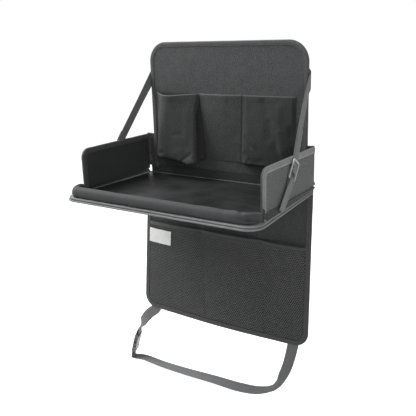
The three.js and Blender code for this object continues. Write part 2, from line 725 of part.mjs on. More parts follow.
for (const [label, side] of [['left', -1], ['right', 1]]) {
  const centre = new THREE.Vector3(side * adjusterOffset, ...adjusterPlace);
  const outward = new THREE.Vector3(side, 0, 0);
  const across = new THREE.Vector3().crossVectors(adjusterAlong, outward);
  const onAdjuster = (along, out) => centre.clone()
    .addScaledVector(adjusterAlong, along)
    .addScaledVector(outward, out);
  const group = new THREE.Group();
  placeOnAxes(group, centre, across, adjusterAlong);
  organizer.add(group);
  const depth = adjusterThickness - 2 * adjusterEdge;
  const body = new THREE.ExtrudeGeometry(adjusterShape(), {
    depth, bevelEnabled: true, bevelThickness: adjusterEdge, bevelSize: adjusterEdge,
    bevelOffset: -adjusterEdge, bevelSegments: 1,
  });
  addPart(group, `strap_adjuster_${label}`, body.translate(0, 0, -depth / 2), palette.plastic);

  const run = adjusterThickness / 2 + gap + supportThickness / 2;
  const turn = -adjusterMiddleBar / 2 - gap - supportThickness / 2;
  const stand = tapeThickness + 2 * gap + supportThickness / 2;
  const cornerStand = stand * 0.8;
  const edge = upperHalfWidth + supportThickness / 2 + 2 * gap;
  const [endY, endZ] = strapAdjusterTop;
  const slope = new THREE.Vector2(endY, endZ - strapCornerHeight).normalize();
  const widthOnBack = new THREE.Vector3(-side * slope.y, 0, -slope.x).normalize();
  const widthOnSide = new THREE.Vector3(0, slope.y, -slope.x).normalize();
  const widthAtCorner = widthOnBack.clone().add(widthOnSide).normalize();
  const inner = side * (adjusterOffset - run);
  const slack = strapSlack[label];
  const onBack = (length) => new THREE.Vector3(
    side * (edge + slope.x * length), stand, strapCornerHeight - slope.y * length);
  const alongSide = (share, bowShare) => new THREE.Vector3(
    THREE.MathUtils.lerp(side * edge, inner, share),
    THREE.MathUtils.lerp(0, endY, share) + slope.y * slack * bowShare,
    THREE.MathUtils.lerp(strapCornerHeight, endZ, share) - slope.x * slack * bowShare,
  );
  const wrapShare = strapWrap / Math.hypot(endY, endZ - strapCornerHeight);
  const tailStart = adjusterHalfLength + run;
  const tailAt = (lengthShare, out) => {
    const point = onAdjuster(tailStart, out);
    const aim = alongSide(0.62, 1).sub(alongSide(1, 0)).normalize();
    return point.addScaledVector(aim, strapTailLength[label] * lengthShare);
  };
  const widthAtAdjuster = across.clone().multiplyScalar(Math.sign(across.dot(widthOnSide)));
  const corner = new THREE.Vector3(side * (edge + cornerStand / 2), cornerStand, strapCornerHeight);
  const slantedCut = new THREE.Vector3(0, 0, -1 / slope.x);
  const stations = [
    [onBack(strapBackLength), widthOnBack, slantedCut],
    [onBack((strapBackLength + strapWrap) / 2), widthOnBack, slantedCut],
    [onBack(strapWrap), widthOnBack, slantedCut],
    [corner, widthAtCorner, slantedCut],
    [alongSide(wrapShare, 0), widthOnSide, slantedCut],
    [alongSide(0.35, 0.75), widthOnSide],
    [alongSide(0.6, 1), widthOnSide],
    [alongSide(0.82, 0.8), widthAtAdjuster],
    [onAdjuster(adjusterHalfLength, -run), widthAtAdjuster],
    [onAdjuster(0, -run), widthAtAdjuster],
    [onAdjuster(turn - run * 0.4, -run * 0.75), widthAtAdjuster],
    [onAdjuster(turn - run * 0.9, 0), widthAtAdjuster],
    [onAdjuster(turn - run * 0.4, run * 0.75), widthAtAdjuster],
    [onAdjuster(0, run), widthAtAdjuster],
    [onAdjuster(adjusterHalfLength, run), widthAtAdjuster],
    [tailAt(0.3, run), widthAtAdjuster],
    [tailAt(1, run), widthOnSide],
  ];
  const supportStrap = ribbon(stations, supportWidth, supportThickness);
  addPart(organizer, `support_strap_${label}`, supportStrap, palette.webbing);

  const barCentre = -adjusterHalfLength + adjusterBar / 2;
  const barHalf = adjusterBar / 2;
  const loop = barHalf + 2 * gap + supportThickness / 2;
  const barCorner = barHalf + gap + supportThickness / 4;
  const sewn = supportWidth * 0.8;
  const layerHalf = (gap + supportThickness) / 2;
  const [endRun, endHeight] = strapTrayEnd;
  const end = new THREE.Vector3(side * (trayHalfWidthAt(endRun) - strapEndInset), endRun, endHeight);
  const foot = onAdjuster(barCentre - sewn, layerHalf);
  const toEnd = end.clone().sub(foot);
  const widthAtTray = new THREE.Vector3(0, toEnd.z, -toEnd.y).normalize();
  const widthAtFoot = across.clone().multiplyScalar(Math.sign(across.dot(widthAtTray)));
  const lowerStations = [
    [onAdjuster(barCentre - sewn, -layerHalf), widthAtFoot],
    [onAdjuster(barCentre - barHalf - supportThickness, -run), widthAtFoot],
    [onAdjuster(barCentre + barHalf / 2, -run), widthAtFoot],
    [onAdjuster(barCentre + barCorner, -run * 0.86), widthAtFoot],
    [onAdjuster(barCentre + loop, 0), widthAtFoot],
    [onAdjuster(barCentre + barCorner, run * 0.86), widthAtFoot],
    [onAdjuster(barCentre + barHalf / 2, run), widthAtFoot],
    [onAdjuster(barCentre - barHalf - supportThickness, run), widthAtFoot],
    [foot, widthAtFoot],
    [foot.clone().lerp(end, 0.35), widthAtTray],
    [end, widthAtTray],
  ];
  const seamTop = upperFlangeLow + flangeTapeThickness + gap;
  const belowSeam = boxBetween(
    [-trayFrontHalfWidth - supportWidth, trayFront, seamTop - 2 * supportWidth],
    [trayFrontHalfWidth + supportWidth, 0, seamTop],
  );
  const trayStrap = combine(ribbon(lowerStations, supportWidth, supportThickness), { cut: [belowSeam] });
  addPart(organizer, `tray_strap_${label}`, trayStrap, palette.webbing);
}

// Side-release buckle in its own frame: +X across, +Y from the socket's bar to the plug's bar
function buckleOutline(length, nearHalf, farHalf) {
  return roundedLine([
    [nearHalf, 0, buckleRound], [farHalf, length, buckleRound],
    [-farHalf, length, buckleRound], [-nearHalf, 0, buckleRound],
  ], true, buckleArcSteps);
}

function bevelledPlate(line, thickness) {
  const depth = thickness - 2 * buckleEdge;
  const geometry = new THREE.ExtrudeGeometry(new THREE.Shape(line), {
    depth, bevelEnabled: true, bevelThickness: buckleEdge, bevelSize: buckleEdge,
    bevelOffset: -buckleEdge, bevelSegments: 1,
  });
  return geometry.translate(0, 0, -depth / 2);
}

function strapSlotCuts(barEnd, inward) {
  const slotHalf = webbingWidth / 2 + gap + buckleEdge / 2;
  const outside = barEnd - inward * cutOverrun;
  const slotFar = barEnd + inward * (buckleBar + buckleSlot);
  const [slotA, slotB] = [barEnd + inward * buckleBar, slotFar].sort((a, b) => a - b);
  const [recessA, recessB] = [outside, slotFar].sort((a, b) => a - b);
  const high = buckleThickness;
  const bar = buckleBarThickness / 2;
  return [
    boxBetween([-slotHalf, slotA, -high], [slotHalf, slotB, high]),
    boxBetween([-slotHalf, recessA, bar], [slotHalf, recessB, high]),
    boxBetween([-slotHalf, recessA, -high], [slotHalf, recessB, -bar]),
  ];
}

const buckleHalf = buckleWidth / 2;
const cavityHalf = buckleHalf - buckleWall;
const cavityFloor = buckleBar + buckleSlot + buckleWall;
const plugStart = socketLength + 2 * gap;
const buckleLength = plugStart + plugLength;

function socketGeometry() {
  const half = buckleCavityHeight / 2;
  const window = windowHeight / 2;
  const mouth = socketLength + cutOverrun;
  const outline = buckleOutline(socketLength, buckleHalf - buckleTaper, buckleHalf);
  return combine(bevelledPlate(outline, buckleThickness), {
    cut: [
      boxBetween([-cavityHalf, cavityFloor, -half], [cavityHalf, mouth, half]),
      boxBetween([-buckleWidth, windowNear, -window], [buckleWidth, windowFar, window]),
      ...strapSlotCuts(0, 1),
    ],
  });
}

function plugGeometry() {
  const outline = buckleOutline(plugLength, buckleHalf - buckleEdge, buckleHalf - buckleTaper);
  const base = bevelledPlate(outline, buckleThickness);
  const tongue = tongueWidth / 2;
  const high = tongueThickness / 2;
  return combine(base.translate(0, plugStart, 0), {
    add: [boxBetween([-tongue, tongueTip, -high], [tongue, plugStart + buckleWall, high])],
    cut: strapSlotCuts(buckleLength, -1),
  });
}

function prongGeometry(side) {
  const [pivotX, pivotY] = prongPivot;
  const catchX = cavityHalf + prongCatch;
  const inner = pivotX - prongRoot;
  const outer = pivotX + prongRoot;
  const outline = [
    [outer, pivotY, 0], [outer, prongShoulder + prongRoot, prongRoot / 2],
    [catchX, prongShoulder, 0], [catchX, prongShoulder - prongRoot, prongRoot],
    [cavityHalf - prongRoot, prongTip, prongRoot], [pivotX, prongTip, prongRoot / 2],
    [inner + prongRoot / 2, prongShoulder, prongRoot], [inner, pivotY, 0],
  ];
  const line = roundedLine(outline, true, buckleArcSteps);
  for (let k = 1; k < prongRootSteps; k += 1) {
    const angle = Math.PI - (Math.PI * k) / prongRootSteps;
    const spoke = new THREE.Vector2(Math.cos(angle), Math.sin(angle)).multiplyScalar(prongRoot);
    line.push(new THREE.Vector2(pivotX, pivotY).add(spoke));
  }
  const placed = line.map((point) => new THREE.Vector2(side * point.x, point.y));
  if (side < 0) {
    placed.reverse();
  }
  return plate(placed, -prongThickness / 2, prongThickness / 2);
}

function addBuckle(name, origin, across, along) {
  const group = new THREE.Group();
  placeOnAxes(group, origin, across, along);
  organizer.add(group);
  addPart(group, `${name}_socket`, socketGeometry(), palette.plastic);
  addPart(group, `${name}_plug`, plugGeometry(), palette.plastic);
  addPart(group, `${name}_prong_a`, prongGeometry(-1), palette.plastic);
  addPart(group, `${name}_prong_b`, prongGeometry(1), palette.plastic);
  const face = new THREE.Vector3().crossVectors(across, along);
  const at = (y, z) => origin.clone().addScaledVector(along, y).addScaledVector(face, z);
  return { at, across };
}

// Stations of webbing that goes round a buckle's bar and is sewn back on itself
function barLoop(buckle, barEnd, inward) {
  const barHalf = buckleBarThickness / 2;
  const clear = gap + webbingThickness / 2;
  const over = barHalf + clear;
  const cornerClear = clear * 0.78;
  const sewnEnd = barEnd - inward * webbingWidth * 0.6;
  const layer = (webbingThickness + gap) / 2;
  const half = (sign) => [
    [sewnEnd, layer],
    [barEnd - inward * clear, over],
    [barEnd + inward * buckleBar * 0.8, over + gap / 3],
    [barEnd + inward * (buckleBar + cornerClear), barHalf + cornerClear],
    [barEnd + inward * (buckleBar + clear + gap / 3), barHalf * 0.6],
  ].map(([along, out]) => [buckle.at(along, sign * out), buckle.across]);
  return [...half(-1), ...half(1).reverse()];
}

// Headrest strap: two webbings sewn to the panel's back, joined by a buckle on the centre line
const headrestBack = tapeThickness + gap + webbingThickness / 2;
const headrestLine = new THREE.Vector3(1, 0, 0);
const headrestOrigin = new THREE.Vector3(-buckleLength / 2, headrestBack + headrestSlack, headrestHeight);
const headrestAcross = new THREE.Vector3(0, 0, 1);
const headrestBuckle = addBuckle('headrest_buckle', headrestOrigin, headrestAcross, headrestLine);
for (const [label, side, barEnd] of [['left', -1, 0], ['right', 1, buckleLength]]) {
  const across = headrestBuckle.across;
  const place = (x, y) => new THREE.Vector3(side * x, y, headrestHeight);
  const stations = [
    ...barLoop(headrestBuckle, barEnd, -side),
    [place(headrestAnchor * 0.6, headrestBack + headrestSlack * 0.7), across],
    [place(headrestAnchor * 0.86, headrestBack + headrestSlack * 0.16), across],
    [place(headrestAnchor, headrestBack), across],
    [place(headrestAnchor + headrestSewn, headrestBack), across],
  ];
  const headrestStrap = ribbon(stations, webbingWidth, webbingThickness);
  addPart(organizer, `headrest_strap_${label}`, headrestStrap, palette.webbing);
}

// Lower panel: two soft cloth layers hung from the fold seam, leaning to the front.
// Its group has its origin on the fold, +Y up along the cloth and +Z to the front.
const foldHeight = upperBottom - foldSeamRadius - gap;
const lowerGroup = new THREE.Group();
lowerGroup.position.set(0, -upperFace / 2, foldHeight);
lowerGroup.rotation.x = Math.PI / 2 - lowerLean;
organizer.add(lowerGroup);
const lowerTop = -foldSeamRadius - gap;
const lowerHalfStack = clothThickness + gap / 2;

function lowerCorners(inset) {
  const half = lowerHalfWidth - inset;
  const bottom = -lowerLength + inset;
  const radius = lowerCornerRadius - inset;
  return [
    [-half, lowerEarRise, 0], [-half, bottom, radius], [0, bottom - lowerBow, lowerBowRadius],
    [half, bottom, radius], [half, lowerEarRise, 0],
  ];
}

// The cloth's outline: at both sides of the fold seam a narrow ear reaches up beside the upper panel
function lowerClothCorners(inset) {
  const earInner = upperHalfWidth + lowerEarGap;
  return [
    ...lowerCorners(inset),
    [earInner, lowerEarRise, 0], [earInner, lowerTop, 0],
    [-earInner, lowerTop, 0], [-earInner, lowerEarRise, 0],
  ];
}

const seamLength = 2 * foldSeamHalfLength;
const foldSeam = new THREE.CylinderGeometry(foldSeamRadius, foldSeamRadius, seamLength, foldSeamSides);
addPart(lowerGroup, 'fold_seam', foldSeam.rotateZ(Math.PI / 2), palette.tape);
const lowerOutline = roundedLine(lowerClothCorners(tapeThickness + gap), true);
addPart(lowerGroup, 'lower_front_cloth', plate(lowerOutline, gap / 2, lowerHalfStack), palette.cloth);
addPart(lowerGroup, 'lower_back_lining', plate(lowerOutline, -lowerHalfStack, -gap / 2), palette.lining);
addPart(lowerGroup, 'lower_binding', edgeSweep(
  roundedLine(lowerCorners(0), false),
  tapeSection(-lowerHalfStack, lowerHalfStack, tapeBand, tapeThickness),
), palette.tape);

// Mesh pocket: one net sewn down at the sides, the bottom and two upright seams
const meshHalf = lowerHalfWidth - tapeBand - gap;
const meshBottom = -lowerLength + tapeBand + gap;
const meshBack = lowerHalfStack + gap;

function meshGapeAt(x, v) {
  const drift = meshSeamDrift * v;
  const edges = [-meshHalf, ...meshSeamTop.map((seam, i) => seam + drift * i), meshHalf];
  for (let k = 0; k + 1 < edges.length; k += 1) {
    if (x <= edges[k + 1]) {
      const share = THREE.MathUtils.clamp((x - edges[k]) / (edges[k + 1] - edges[k]), 0, 1);
      return meshGape * Math.sin(Math.PI * share) ** 0.7 * (1 - v ** 1.6);
    }
  }
  return 0;
}

function meshPoint(u, v, stand) {
  const x = THREE.MathUtils.lerp(-meshHalf, meshHalf, u);
  const out = meshBack + meshGapeAt(x, v) + stand;
  return new THREE.Vector3(x, THREE.MathUtils.lerp(meshTop, meshLowEdgeAt(x), v), out);
}

// Share of the corner radius by which the round bottom corner lifts the edge at x
function cornerRise(x) {
  const inner = lowerCornerRadius - tapeBand;
  const into = Math.abs(x) - (meshHalf - inner);
  return into > 0 ? (inner - Math.sqrt(Math.max(inner * inner - into * into, 0))) / lowerCornerRadius : 0;
}

function meshLowEdgeAt(x) {
  return meshBottom + lowerCornerRadius * cornerRise(x);
}

addPart(lowerGroup, 'mesh_pocket', sheet(meshSteps, meshLevels, (u, v, side) => (
  meshPoint(u, v, side * meshThickness)
)), palette.mesh);
const hemShare = meshHemHeight / (meshTop - meshBottom);
const overMesh = meshThickness + gap;
addPart(lowerGroup, 'mesh_hem', sheet(meshSteps, 2, (u, v, side) => (
  meshPoint(u, v * hemShare, overMesh + side * meshHemThickness)
)), palette.tape);

// White tag, sewn into the pocket's left seam and lying over the net
const [tagWidth, tagHeight] = careTagSize;
addPart(lowerGroup, 'blank_cloth_tag', sheet(careTagSteps, careTagSteps / 2, (u, v, side) => {
  const x = -meshHalf + gap + tagWidth * u;
  const drop = meshTop - careTagTop + tagHeight * v;
  const down = drop / (meshTop - meshLowEdgeAt(x));
  return meshPoint((x + meshHalf) / (2 * meshHalf), down, overMesh + side * careTagThickness);
}), palette.tag);

// Bottom strap: a short webbing with the socket at the left and a long one from the right.
// Its route hangs in a loop in the lower panel's plane, in shares of the loop's reach and drop.
lowerGroup.updateMatrixWorld(true);
const inLower = (x, y, z) => lowerGroup.localToWorld(new THREE.Vector3(x, y, z));
const loopPoint = ([xShare, downShare, backShare]) => inLower(
  loopReach * xShare, -lowerLength - loopDrop * downShare, -backShare * loopBack);
const buckleTopShares = [-1.047, 0.612, 1.5];
const buckleEndShares = [-1.1, 1.0, 1.5];
const buckleOrigin = loopPoint(buckleTopShares);
const buckleAlong = loopPoint(buckleEndShares).sub(buckleOrigin).normalize();
const buckleAcross = new THREE.Vector3(0.34, -0.94, 0);
buckleAcross.addScaledVector(buckleAlong, -buckleAcross.dot(buckleAlong)).normalize();
const bottomBuckle = addBuckle('bottom_buckle', buckleOrigin, buckleAcross, buckleAlong);
const widthAcross = new THREE.Vector3(1, 0, 0);
const sewnBack = (tapeThickness + 2 * gap + webbingThickness + lowerHalfStack) / loopBack;
addPart(organizer, 'bottom_strap_short', ribbon([
  ...barLoop(bottomBuckle, 0, 1),
  [loopPoint([-0.985, 0.36, 1.45]), new THREE.Vector3(0.62, -0.78, 0).normalize()],
  [loopPoint([-0.9, 0.185, 1.3]), new THREE.Vector3(0.9, -0.42, 0.1).normalize()],
  [loopPoint([-0.8, 0.04, sewnBack]), widthAcross],
  [loopPoint([-0.765, -0.08, sewnBack]), widthAcross],
  [loopPoint([-0.745, -0.24, sewnBack]), widthAcross],
], webbingWidth, webbingThickness), palette.webbing);

const longRoute = [
  [[-0.95, 1.02, 1.6], [0.3, -0.95, 0]],
  [[-0.7, 1.065, 1.2], [0.1, -0.97, -0.15]],
  [[-0.38, 1.045, 0.8], [0.05, -0.96, -0.27]],
  [[-0.05, 1.015, 0.6], [0.05, -0.96, -0.27]],
  [[0.25, 1.0, 0.6], [0.05, -0.95, -0.27]],
  [[0.44, 0.935, 0.7], [0.2, -0.92, -0.25]],
  [[0.565, 0.83, 0.9], [0.5, -0.8, -0.15]],
  [[0.63, 0.735, 1.0], [0.72, -0.68, 0]],
  [[0.685, 0.6, 1.1], [0.9, -0.42, 0]],
  [[0.725, 0.42, 1.2], [0.97, -0.22, 0]],
  [[0.755, 0.2, 1.1], [1, -0.08, 0]],
  [[0.775, 0.03, sewnBack], [1, 0, 0]],
  [[0.785, -0.09, sewnBack], [1, 0, 0]],
  [[0.79, -0.25, sewnBack], [1, 0, 0]],
];
addPart(organizer, 'bottom_strap_long', ribbon([
  ...barLoop(bottomBuckle, buckleLength, -1),
  ...longRoute.map(([place, across]) => [loopPoint(place), new THREE.Vector3(...across).normalize()]),
], webbingWidth, webbingThickness), palette.webbing);

export default organizer;
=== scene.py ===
import math
import bpy
import numpy as np
from mathutils import Matrix, Vector


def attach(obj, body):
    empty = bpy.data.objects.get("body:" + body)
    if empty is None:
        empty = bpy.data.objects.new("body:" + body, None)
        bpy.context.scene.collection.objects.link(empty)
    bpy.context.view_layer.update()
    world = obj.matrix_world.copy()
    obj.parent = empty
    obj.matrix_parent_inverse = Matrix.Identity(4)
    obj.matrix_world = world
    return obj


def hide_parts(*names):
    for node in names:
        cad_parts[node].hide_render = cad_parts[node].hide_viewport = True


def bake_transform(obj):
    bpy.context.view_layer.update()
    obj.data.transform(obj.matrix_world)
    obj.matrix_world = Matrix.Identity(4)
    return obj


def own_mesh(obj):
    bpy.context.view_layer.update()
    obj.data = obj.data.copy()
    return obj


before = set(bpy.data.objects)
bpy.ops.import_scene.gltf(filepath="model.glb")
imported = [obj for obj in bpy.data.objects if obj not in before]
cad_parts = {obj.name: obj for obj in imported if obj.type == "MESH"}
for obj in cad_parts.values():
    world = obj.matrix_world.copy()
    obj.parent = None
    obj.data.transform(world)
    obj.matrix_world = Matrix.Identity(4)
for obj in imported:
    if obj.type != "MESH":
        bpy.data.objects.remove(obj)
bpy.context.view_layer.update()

# Viewpoint: the organizer is seen from the right-hand side, from a little above the tray, with
# everything in focus and nothing shifted.
yaw, pitch, roll = (math.radians(angle) for angle in (33.33, -16.282, -1.617))
forward = Vector((-math.sin(yaw) * math.cos(pitch), math.cos(yaw) * math.cos(pitch), math.sin(pitch)))
level = Vector((math.cos(yaw), math.sin(yaw), 0))
upright = level.cross(forward)
view_right = level * math.cos(roll) + upright * math.sin(roll)
view_up = upright * math.cos(roll) - level * math.sin(roll)


def added(name, data):
    item = bpy.data.objects.new(name, data)
    bpy.context.scene.collection.objects.link(item)
    return item


viewpoint = added("viewpoint", bpy.data.cameras.new("viewpoint"))
viewpoint.data.sensor_width = 36
viewpoint.data.lens = 51.43
viewpoint.matrix_world = Matrix((view_right, view_up, -forward)).transposed().to_4x4()
viewpoint.location = (0.6533, -1.0691, 0.3023)
bpy.context.scene.camera = viewpoint

# Upper panel covers: a front and a back cover of plain-woven polyester over a stiffening board.
# The cloth is drawn taut over the board and puckers slightly along the binding.
MM = 0.001
upper_half, upper_top, upper_bottom, upper_radius = 188.5, 289, -10, 42
upper_face = 5.4
cover_inset, cover_thick = 1.1, 1.2


def in_row(points):
    return points


def in_upper(points):
    return np.stack([points[:, 0], -points[:, 2], points[:, 1]], 1)


def unit(vector):
    return np.array(vector, float) / np.linalg.norm(vector)


def run_length(points):
    steps = np.linalg.norm(np.diff(points, axis=0), axis=1)
    return np.concatenate([[0], np.cumsum(steps)])


def at_lengths(line, spots):
    """The line's points at these distances from its start"""
    lengths = run_length(line)
    return np.stack([np.interp(spots, lengths, line[:, axis]) for axis in (0, 1)], 1)


def rounded_line(corners, pitch=3):
    """Straight stretches joined by arcs, each corner (x, y, radius), as points a pitch apart"""
    points = []
    for i, (x, y, radius) in enumerate(corners):
        here = np.array([x, y], float)
        if not radius or i in (0, len(corners) - 1):
            points.append(here)
            continue
        before = unit(np.array(corners[i - 1][:2], float) - here)
        after = unit(np.array(corners[i + 1][:2], float) - here)
        half = math.acos(max(-1, min(1, float(before @ after)))) / 2
        centre = here + unit(before + after) * radius / math.sin(half)
        reach = radius / math.tan(half)
        start, end = here + before * reach - centre, here + after * reach - centre
        turn = math.atan2(start[0] * end[1] - start[1] * end[0], float(start @ end))
        steps = max(6, int(abs(turn) * radius / pitch * 1.5))
        for angle in np.linspace(0, turn, steps + 1):
            c, s = math.cos(angle), math.sin(angle)
            points.append(centre + np.array([start[0] * c - start[1] * s, start[0] * s + start[1] * c]))
    points = np.array(points)
    lengths = run_length(points)
    spots = [0]
    for here, there in zip(lengths[:-1], lengths[1:]):
        steps = max(1, int(round((there - here) / pitch)))
        spots.extend(np.linspace(here, there, steps + 1)[1:])
    return at_lengths(points, spots)


def offset_line(line, distance):
    """The line moved to its right-hand side"""
    tangents = np.gradient(line, axis=0)
    tangents /= np.linalg.norm(tangents, axis=1)[:, None]
    return line + distance * np.stack([tangents[:, 1], -tangents[:, 0]], 1)


def shares(columns, rows):
    """Shares from 0 to 1 across and down a grid of points"""
    return np.meshgrid(np.linspace(0, 1, columns), np.linspace(0, 1, rows))


def spots_of(x, y, z):
    """A grid of points from grids or single values of x, y and z"""
    return np.stack(np.broadcast_arrays(x, y, z), -1)


def skin(rows, around=False):
    """Quads over rows of points, with the cloth's own lengths in metres as their map"""
    count, size = rows.shape[:2]
    loop = np.concatenate([rows, rows[:, :1]], 1) if around else rows
    across = np.linalg.norm(np.diff(loop, axis=1), axis=2).mean(0)
    across = np.concatenate([[0], np.cumsum(across)]) * MM
    along = np.linalg.norm(np.diff(rows, axis=0), axis=2).mean(1)
    along = np.concatenate([[0], np.cumsum(along)]) * MM
    faces, uvs = [], []
    for r in range(count - 1):
        near, far = r * size, (r + 1) * size
        for s in range(size if around else size - 1):
            t = (s + 1) % size
            faces.append((near + s, near + t, far + t, far + s))
            uvs.append([(along[r], across[s]), (along[r], across[s + 1]),
                        (along[r + 1], across[s + 1]), (along[r + 1], across[s])])
    return rows.reshape(-1, 3), faces, uvs


def tube(rows):
    """A closed skin over rows that go round, with flat ends"""
    points, faces, uvs = skin(rows, True)
    size = rows.shape[1]
    last = len(points) - size
    for cap in (list(range(size))[::-1], [last + s for s in range(size)]):
        faces.append(tuple(cap))
        uvs.append([(points[p][0] * MM, points[p][2] * MM) for p in cap])
    return points, faces, uvs


def slab(front, back):
    """A closed sheet between a front and a back grid of points"""
    points, faces, uvs = skin(front)
    count, size = front.shape[:2]
    shift = count * size
    faces_back = [tuple(p + shift for p in face[::-1]) for face in faces]
    uvs_back = [uv[::-1] for uv in uvs]
    rim = [r * size for r in range(count)] + [(count - 1) * size + s for s in range(1, size)]
    rim += [r * size + size - 1 for r in range(count - 2, -1, -1)] + list(range(size - 2, 0, -1))
    map_of = {}
    for face, uv in zip(faces, uvs):
        map_of.update(zip(face, uv))
    rim_faces, rim_uvs = [], []
    for here, there in zip(rim, rim[1:] + rim[:1]):
        rim_faces.append((there, here, here + shift, there + shift))
        rim_uvs.append([map_of[there], map_of[here], map_of[here], map_of[there]])
    return (np.concatenate([points, back.reshape(-1, 3)]), faces + faces_back + rim_faces,
            uvs + uvs_back + rim_uvs)


def add_mesh(name, points, edges, faces):
    mesh = bpy.data.meshes.new(name)
    mesh.from_pydata(points, edges, faces)
    return added(name, mesh)


def make_piece(name, closed_skin, place, finish, sharp=50):
    """An object from a closed skin in millimetres, placed in the row frame, with faces outward"""
    points, faces, uvs = closed_skin
    placed = place(np.asarray(points, float)) * MM
    a, b, c, d = placed[np.array([face[:4] for face in faces]).T]
    turn = -1 if (a * (np.cross(b, c) + np.cross(c, d))).sum() < 0 else 1
    piece = add_mesh(name, placed.tolist(), [], [tuple(face[::turn]) for face in faces])
    layer = piece.data.uv_layers.new(name="cloth_map")
    layer.data.foreach_set("uv", np.array([c for uv in uvs for c in uv[::turn]], np.float32).ravel())
    piece.data.polygons.foreach_set("use_smooth", [True] * len(faces))
    piece.data.set_sharp_from_angle(angle=math.radians(sharp))
    piece.data.materials.append(finish)
    return piece


def carry(piece, body, slot, *nodes):
    """The piece moves with a body and stands for its CAD nodes, which it hides; the slot is not used"""
    if nodes:
        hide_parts(*nodes)
    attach(piece, body)
    return piece


def upright_faces(x, y, z, half):
    """Front and back of a sheet that stands up, half its thickness to either side"""
    return spots_of(x, y - half, z), spots_of(x, y + half, z)


def lay_sheet(name, front, back, place, finish, carried, **lies):
    """Thin cloth between two grids of points, carried by a body"""
    piece = make_piece(name, slab(front, back), place, finish)
    return carry(piece, *carried)


def ripple(x, y, seed, size, count=6):
    """Smooth unevenness from -1 to 1 with waves about a size long, the same each run"""
    draw = np.random.default_rng(seed)
    total = np.zeros(np.broadcast(x, y).shape)
    for _ in range(count):
        angle, phase = draw.uniform(0, 2 * math.pi, 2)
        wave = 2 * math.pi / (size * draw.uniform(0.7, 1.6))
        total += np.sin(wave * (x * math.cos(angle) + y * math.sin(angle)) + phase)
    return total / count


class Wire:
    """One socket of a shader tree, so that sums and products of sockets add their Math nodes"""

    def __init__(self, tree, socket=None):
        self.tree, self.socket = tree, socket

    def node(self, kind, settings=None, values=None, output=0):
        made = self.tree.nodes.new(kind)
        for key, value in (settings or {}).items():
            setattr(made, key, value)
        for key, value in (values or {}).items():
            if isinstance(value, (Wire, list)):
                for wire in value if isinstance(value, list) else [value]:
                    self.tree.links.new(wire.socket, made.inputs[key])
            else:
                made.inputs[key].default_value = value
        return Wire(self.tree, made.outputs[output] if len(made.outputs) else None)

    def other(self, output):
        """Another output of the same node"""
        return Wire(self.tree, self.socket.node.outputs[output])

    def axes(self):
        split = self.node("ShaderNodeSeparateXYZ", {}, {0: self})
        return split, split.other(1), split.other(2)

    def maths(self, operation, *terms):
        return self.node("ShaderNodeMath", {"operation": operation}, dict(enumerate(terms)))

    def __add__(self, other):
        return self.maths("ADD", self, other)

    def __sub__(self, other):
        return self.maths("SUBTRACT", self, other)

    def __rsub__(self, other):
        return self.maths("SUBTRACT", other, self)

    def __mul__(self, other):
        return self.maths("MULTIPLY", self, other)

    __radd__ = __add__
    __rmul__ = __mul__

    def sine(self):
        return self.maths("SINE", self)

    def size(self):
        return self.maths("ABSOLUTE", self)

    def clamped(self):
        return self.node("ShaderNodeClamp", {}, {"Value": self})

    def between(self, first, second):
        """A colour mixed by this factor"""
        return self.node("ShaderNodeMix", {"data_type": "RGBA"}, {0: self, 6: first, 7: second}, 2)


def paint(red, green=None, blue=None):
    """A colour from its levels on a screen, 0 to 255"""
    levels = (red, red if green is None else green, red if blue is None else blue)
    return tuple(((v / 255 + 0.055) / 1.055) ** 2.4 if v > 10 else v / 3300 for v in levels) + (1.0,)


def make_finish(name, build, sheen=0.0, sheen_roughness=0.5, specular=0.5):
    """A material from a function that gives its colour, roughness and height, and how deep that is"""
    finish = bpy.data.materials.new(name)
    finish.use_nodes = True
    finish.node_tree.nodes.clear()
    start = Wire(finish.node_tree)
    colour, roughness, height, depth = build(start)
    normal = start.node("ShaderNodeBump", {}, {"Strength": 1.0, "Distance": depth, "Height": height})
    shader = start.node("ShaderNodeBsdfPrincipled", {}, {
        "Base Color": colour, "Roughness": roughness, "Normal": normal, "Sheen Weight": sheen,
        "Sheen Roughness": sheen_roughness, "Specular IOR Level": specular})
    start.node("ShaderNodeOutputMaterial", {}, {"Surface": shader})
    return finish


def object_place(start):
    return start.node("ShaderNodeTexCoord", output="Object")


def cloth_places(start):
    """The cloth's own map, and the distances along and across it in millimetres"""
    place = start.node("ShaderNodeUVMap", {"uv_map": "cloth_map"})
    along, across, _ = place.axes()
    return place, along * 1000, across * 1000


def waves(distance, apart):
    """A sine along a distance, a full wave every so many millimetres"""
    return (distance * (2 * math.pi / apart)).sine()


def cloud(start, place, scale, detail=3):
    return start.node("ShaderNodeTexNoise", {}, {"Vector": place, "Scale": scale, "Detail": detail})


def woven(level_dark, level_light, thread, worn=None, painted_shade_from=None):
    """Plain weave of a thread's width in millimetres, mottled between two levels. It can carry a painted
    highlight along its first edge, where a fold catches the light, and painted shade, nearly black, from a
    slanting line on"""
    def build(start):
        place, along, across = cloth_places(start)
        warp, weft = waves(along, 2 * thread), waves(across, 2 * thread)
        over = (warp * weft * 3 + 0.5).clamped()
        height = warp.size() * over + weft.size() * (1 - over)
        grain = cloud(start, place, 380, 3) - 0.5
        slub = cloud(start, place, 60, 4) - 0.5
        wear = cloud(start, place, 9, 2) - 0.5
        shade = (grain * 2.8 + slub * 0.7 + wear * 0.5 + height * 0.2 + 0.4).clamped()
        dark, light = (paint(level, level + 1, level + 2) for level in (level_dark, level_light))
        colour = shade.between(dark, light)
        # painted highlight: a pale line along the first edge, where a fold catches the light
        if worn:
            fold = ((3.2 - along) * 0.5).clamped()
            colour = (fold * 0.8).between(colour, paint(worn))
        # painted shade: the cloth goes nearly black from a slanting line on
        if painted_shade_from:
            limit = along * ((painted_shade_from[1] - painted_shade_from[0]) / 140) + painted_shade_from[0]
            colour = ((across - limit) * 0.25).clamped().between(colour, paint(1))
        return colour, wear * 0.16 + 0.78, height + grain * 1.6, 0.0002
    return build


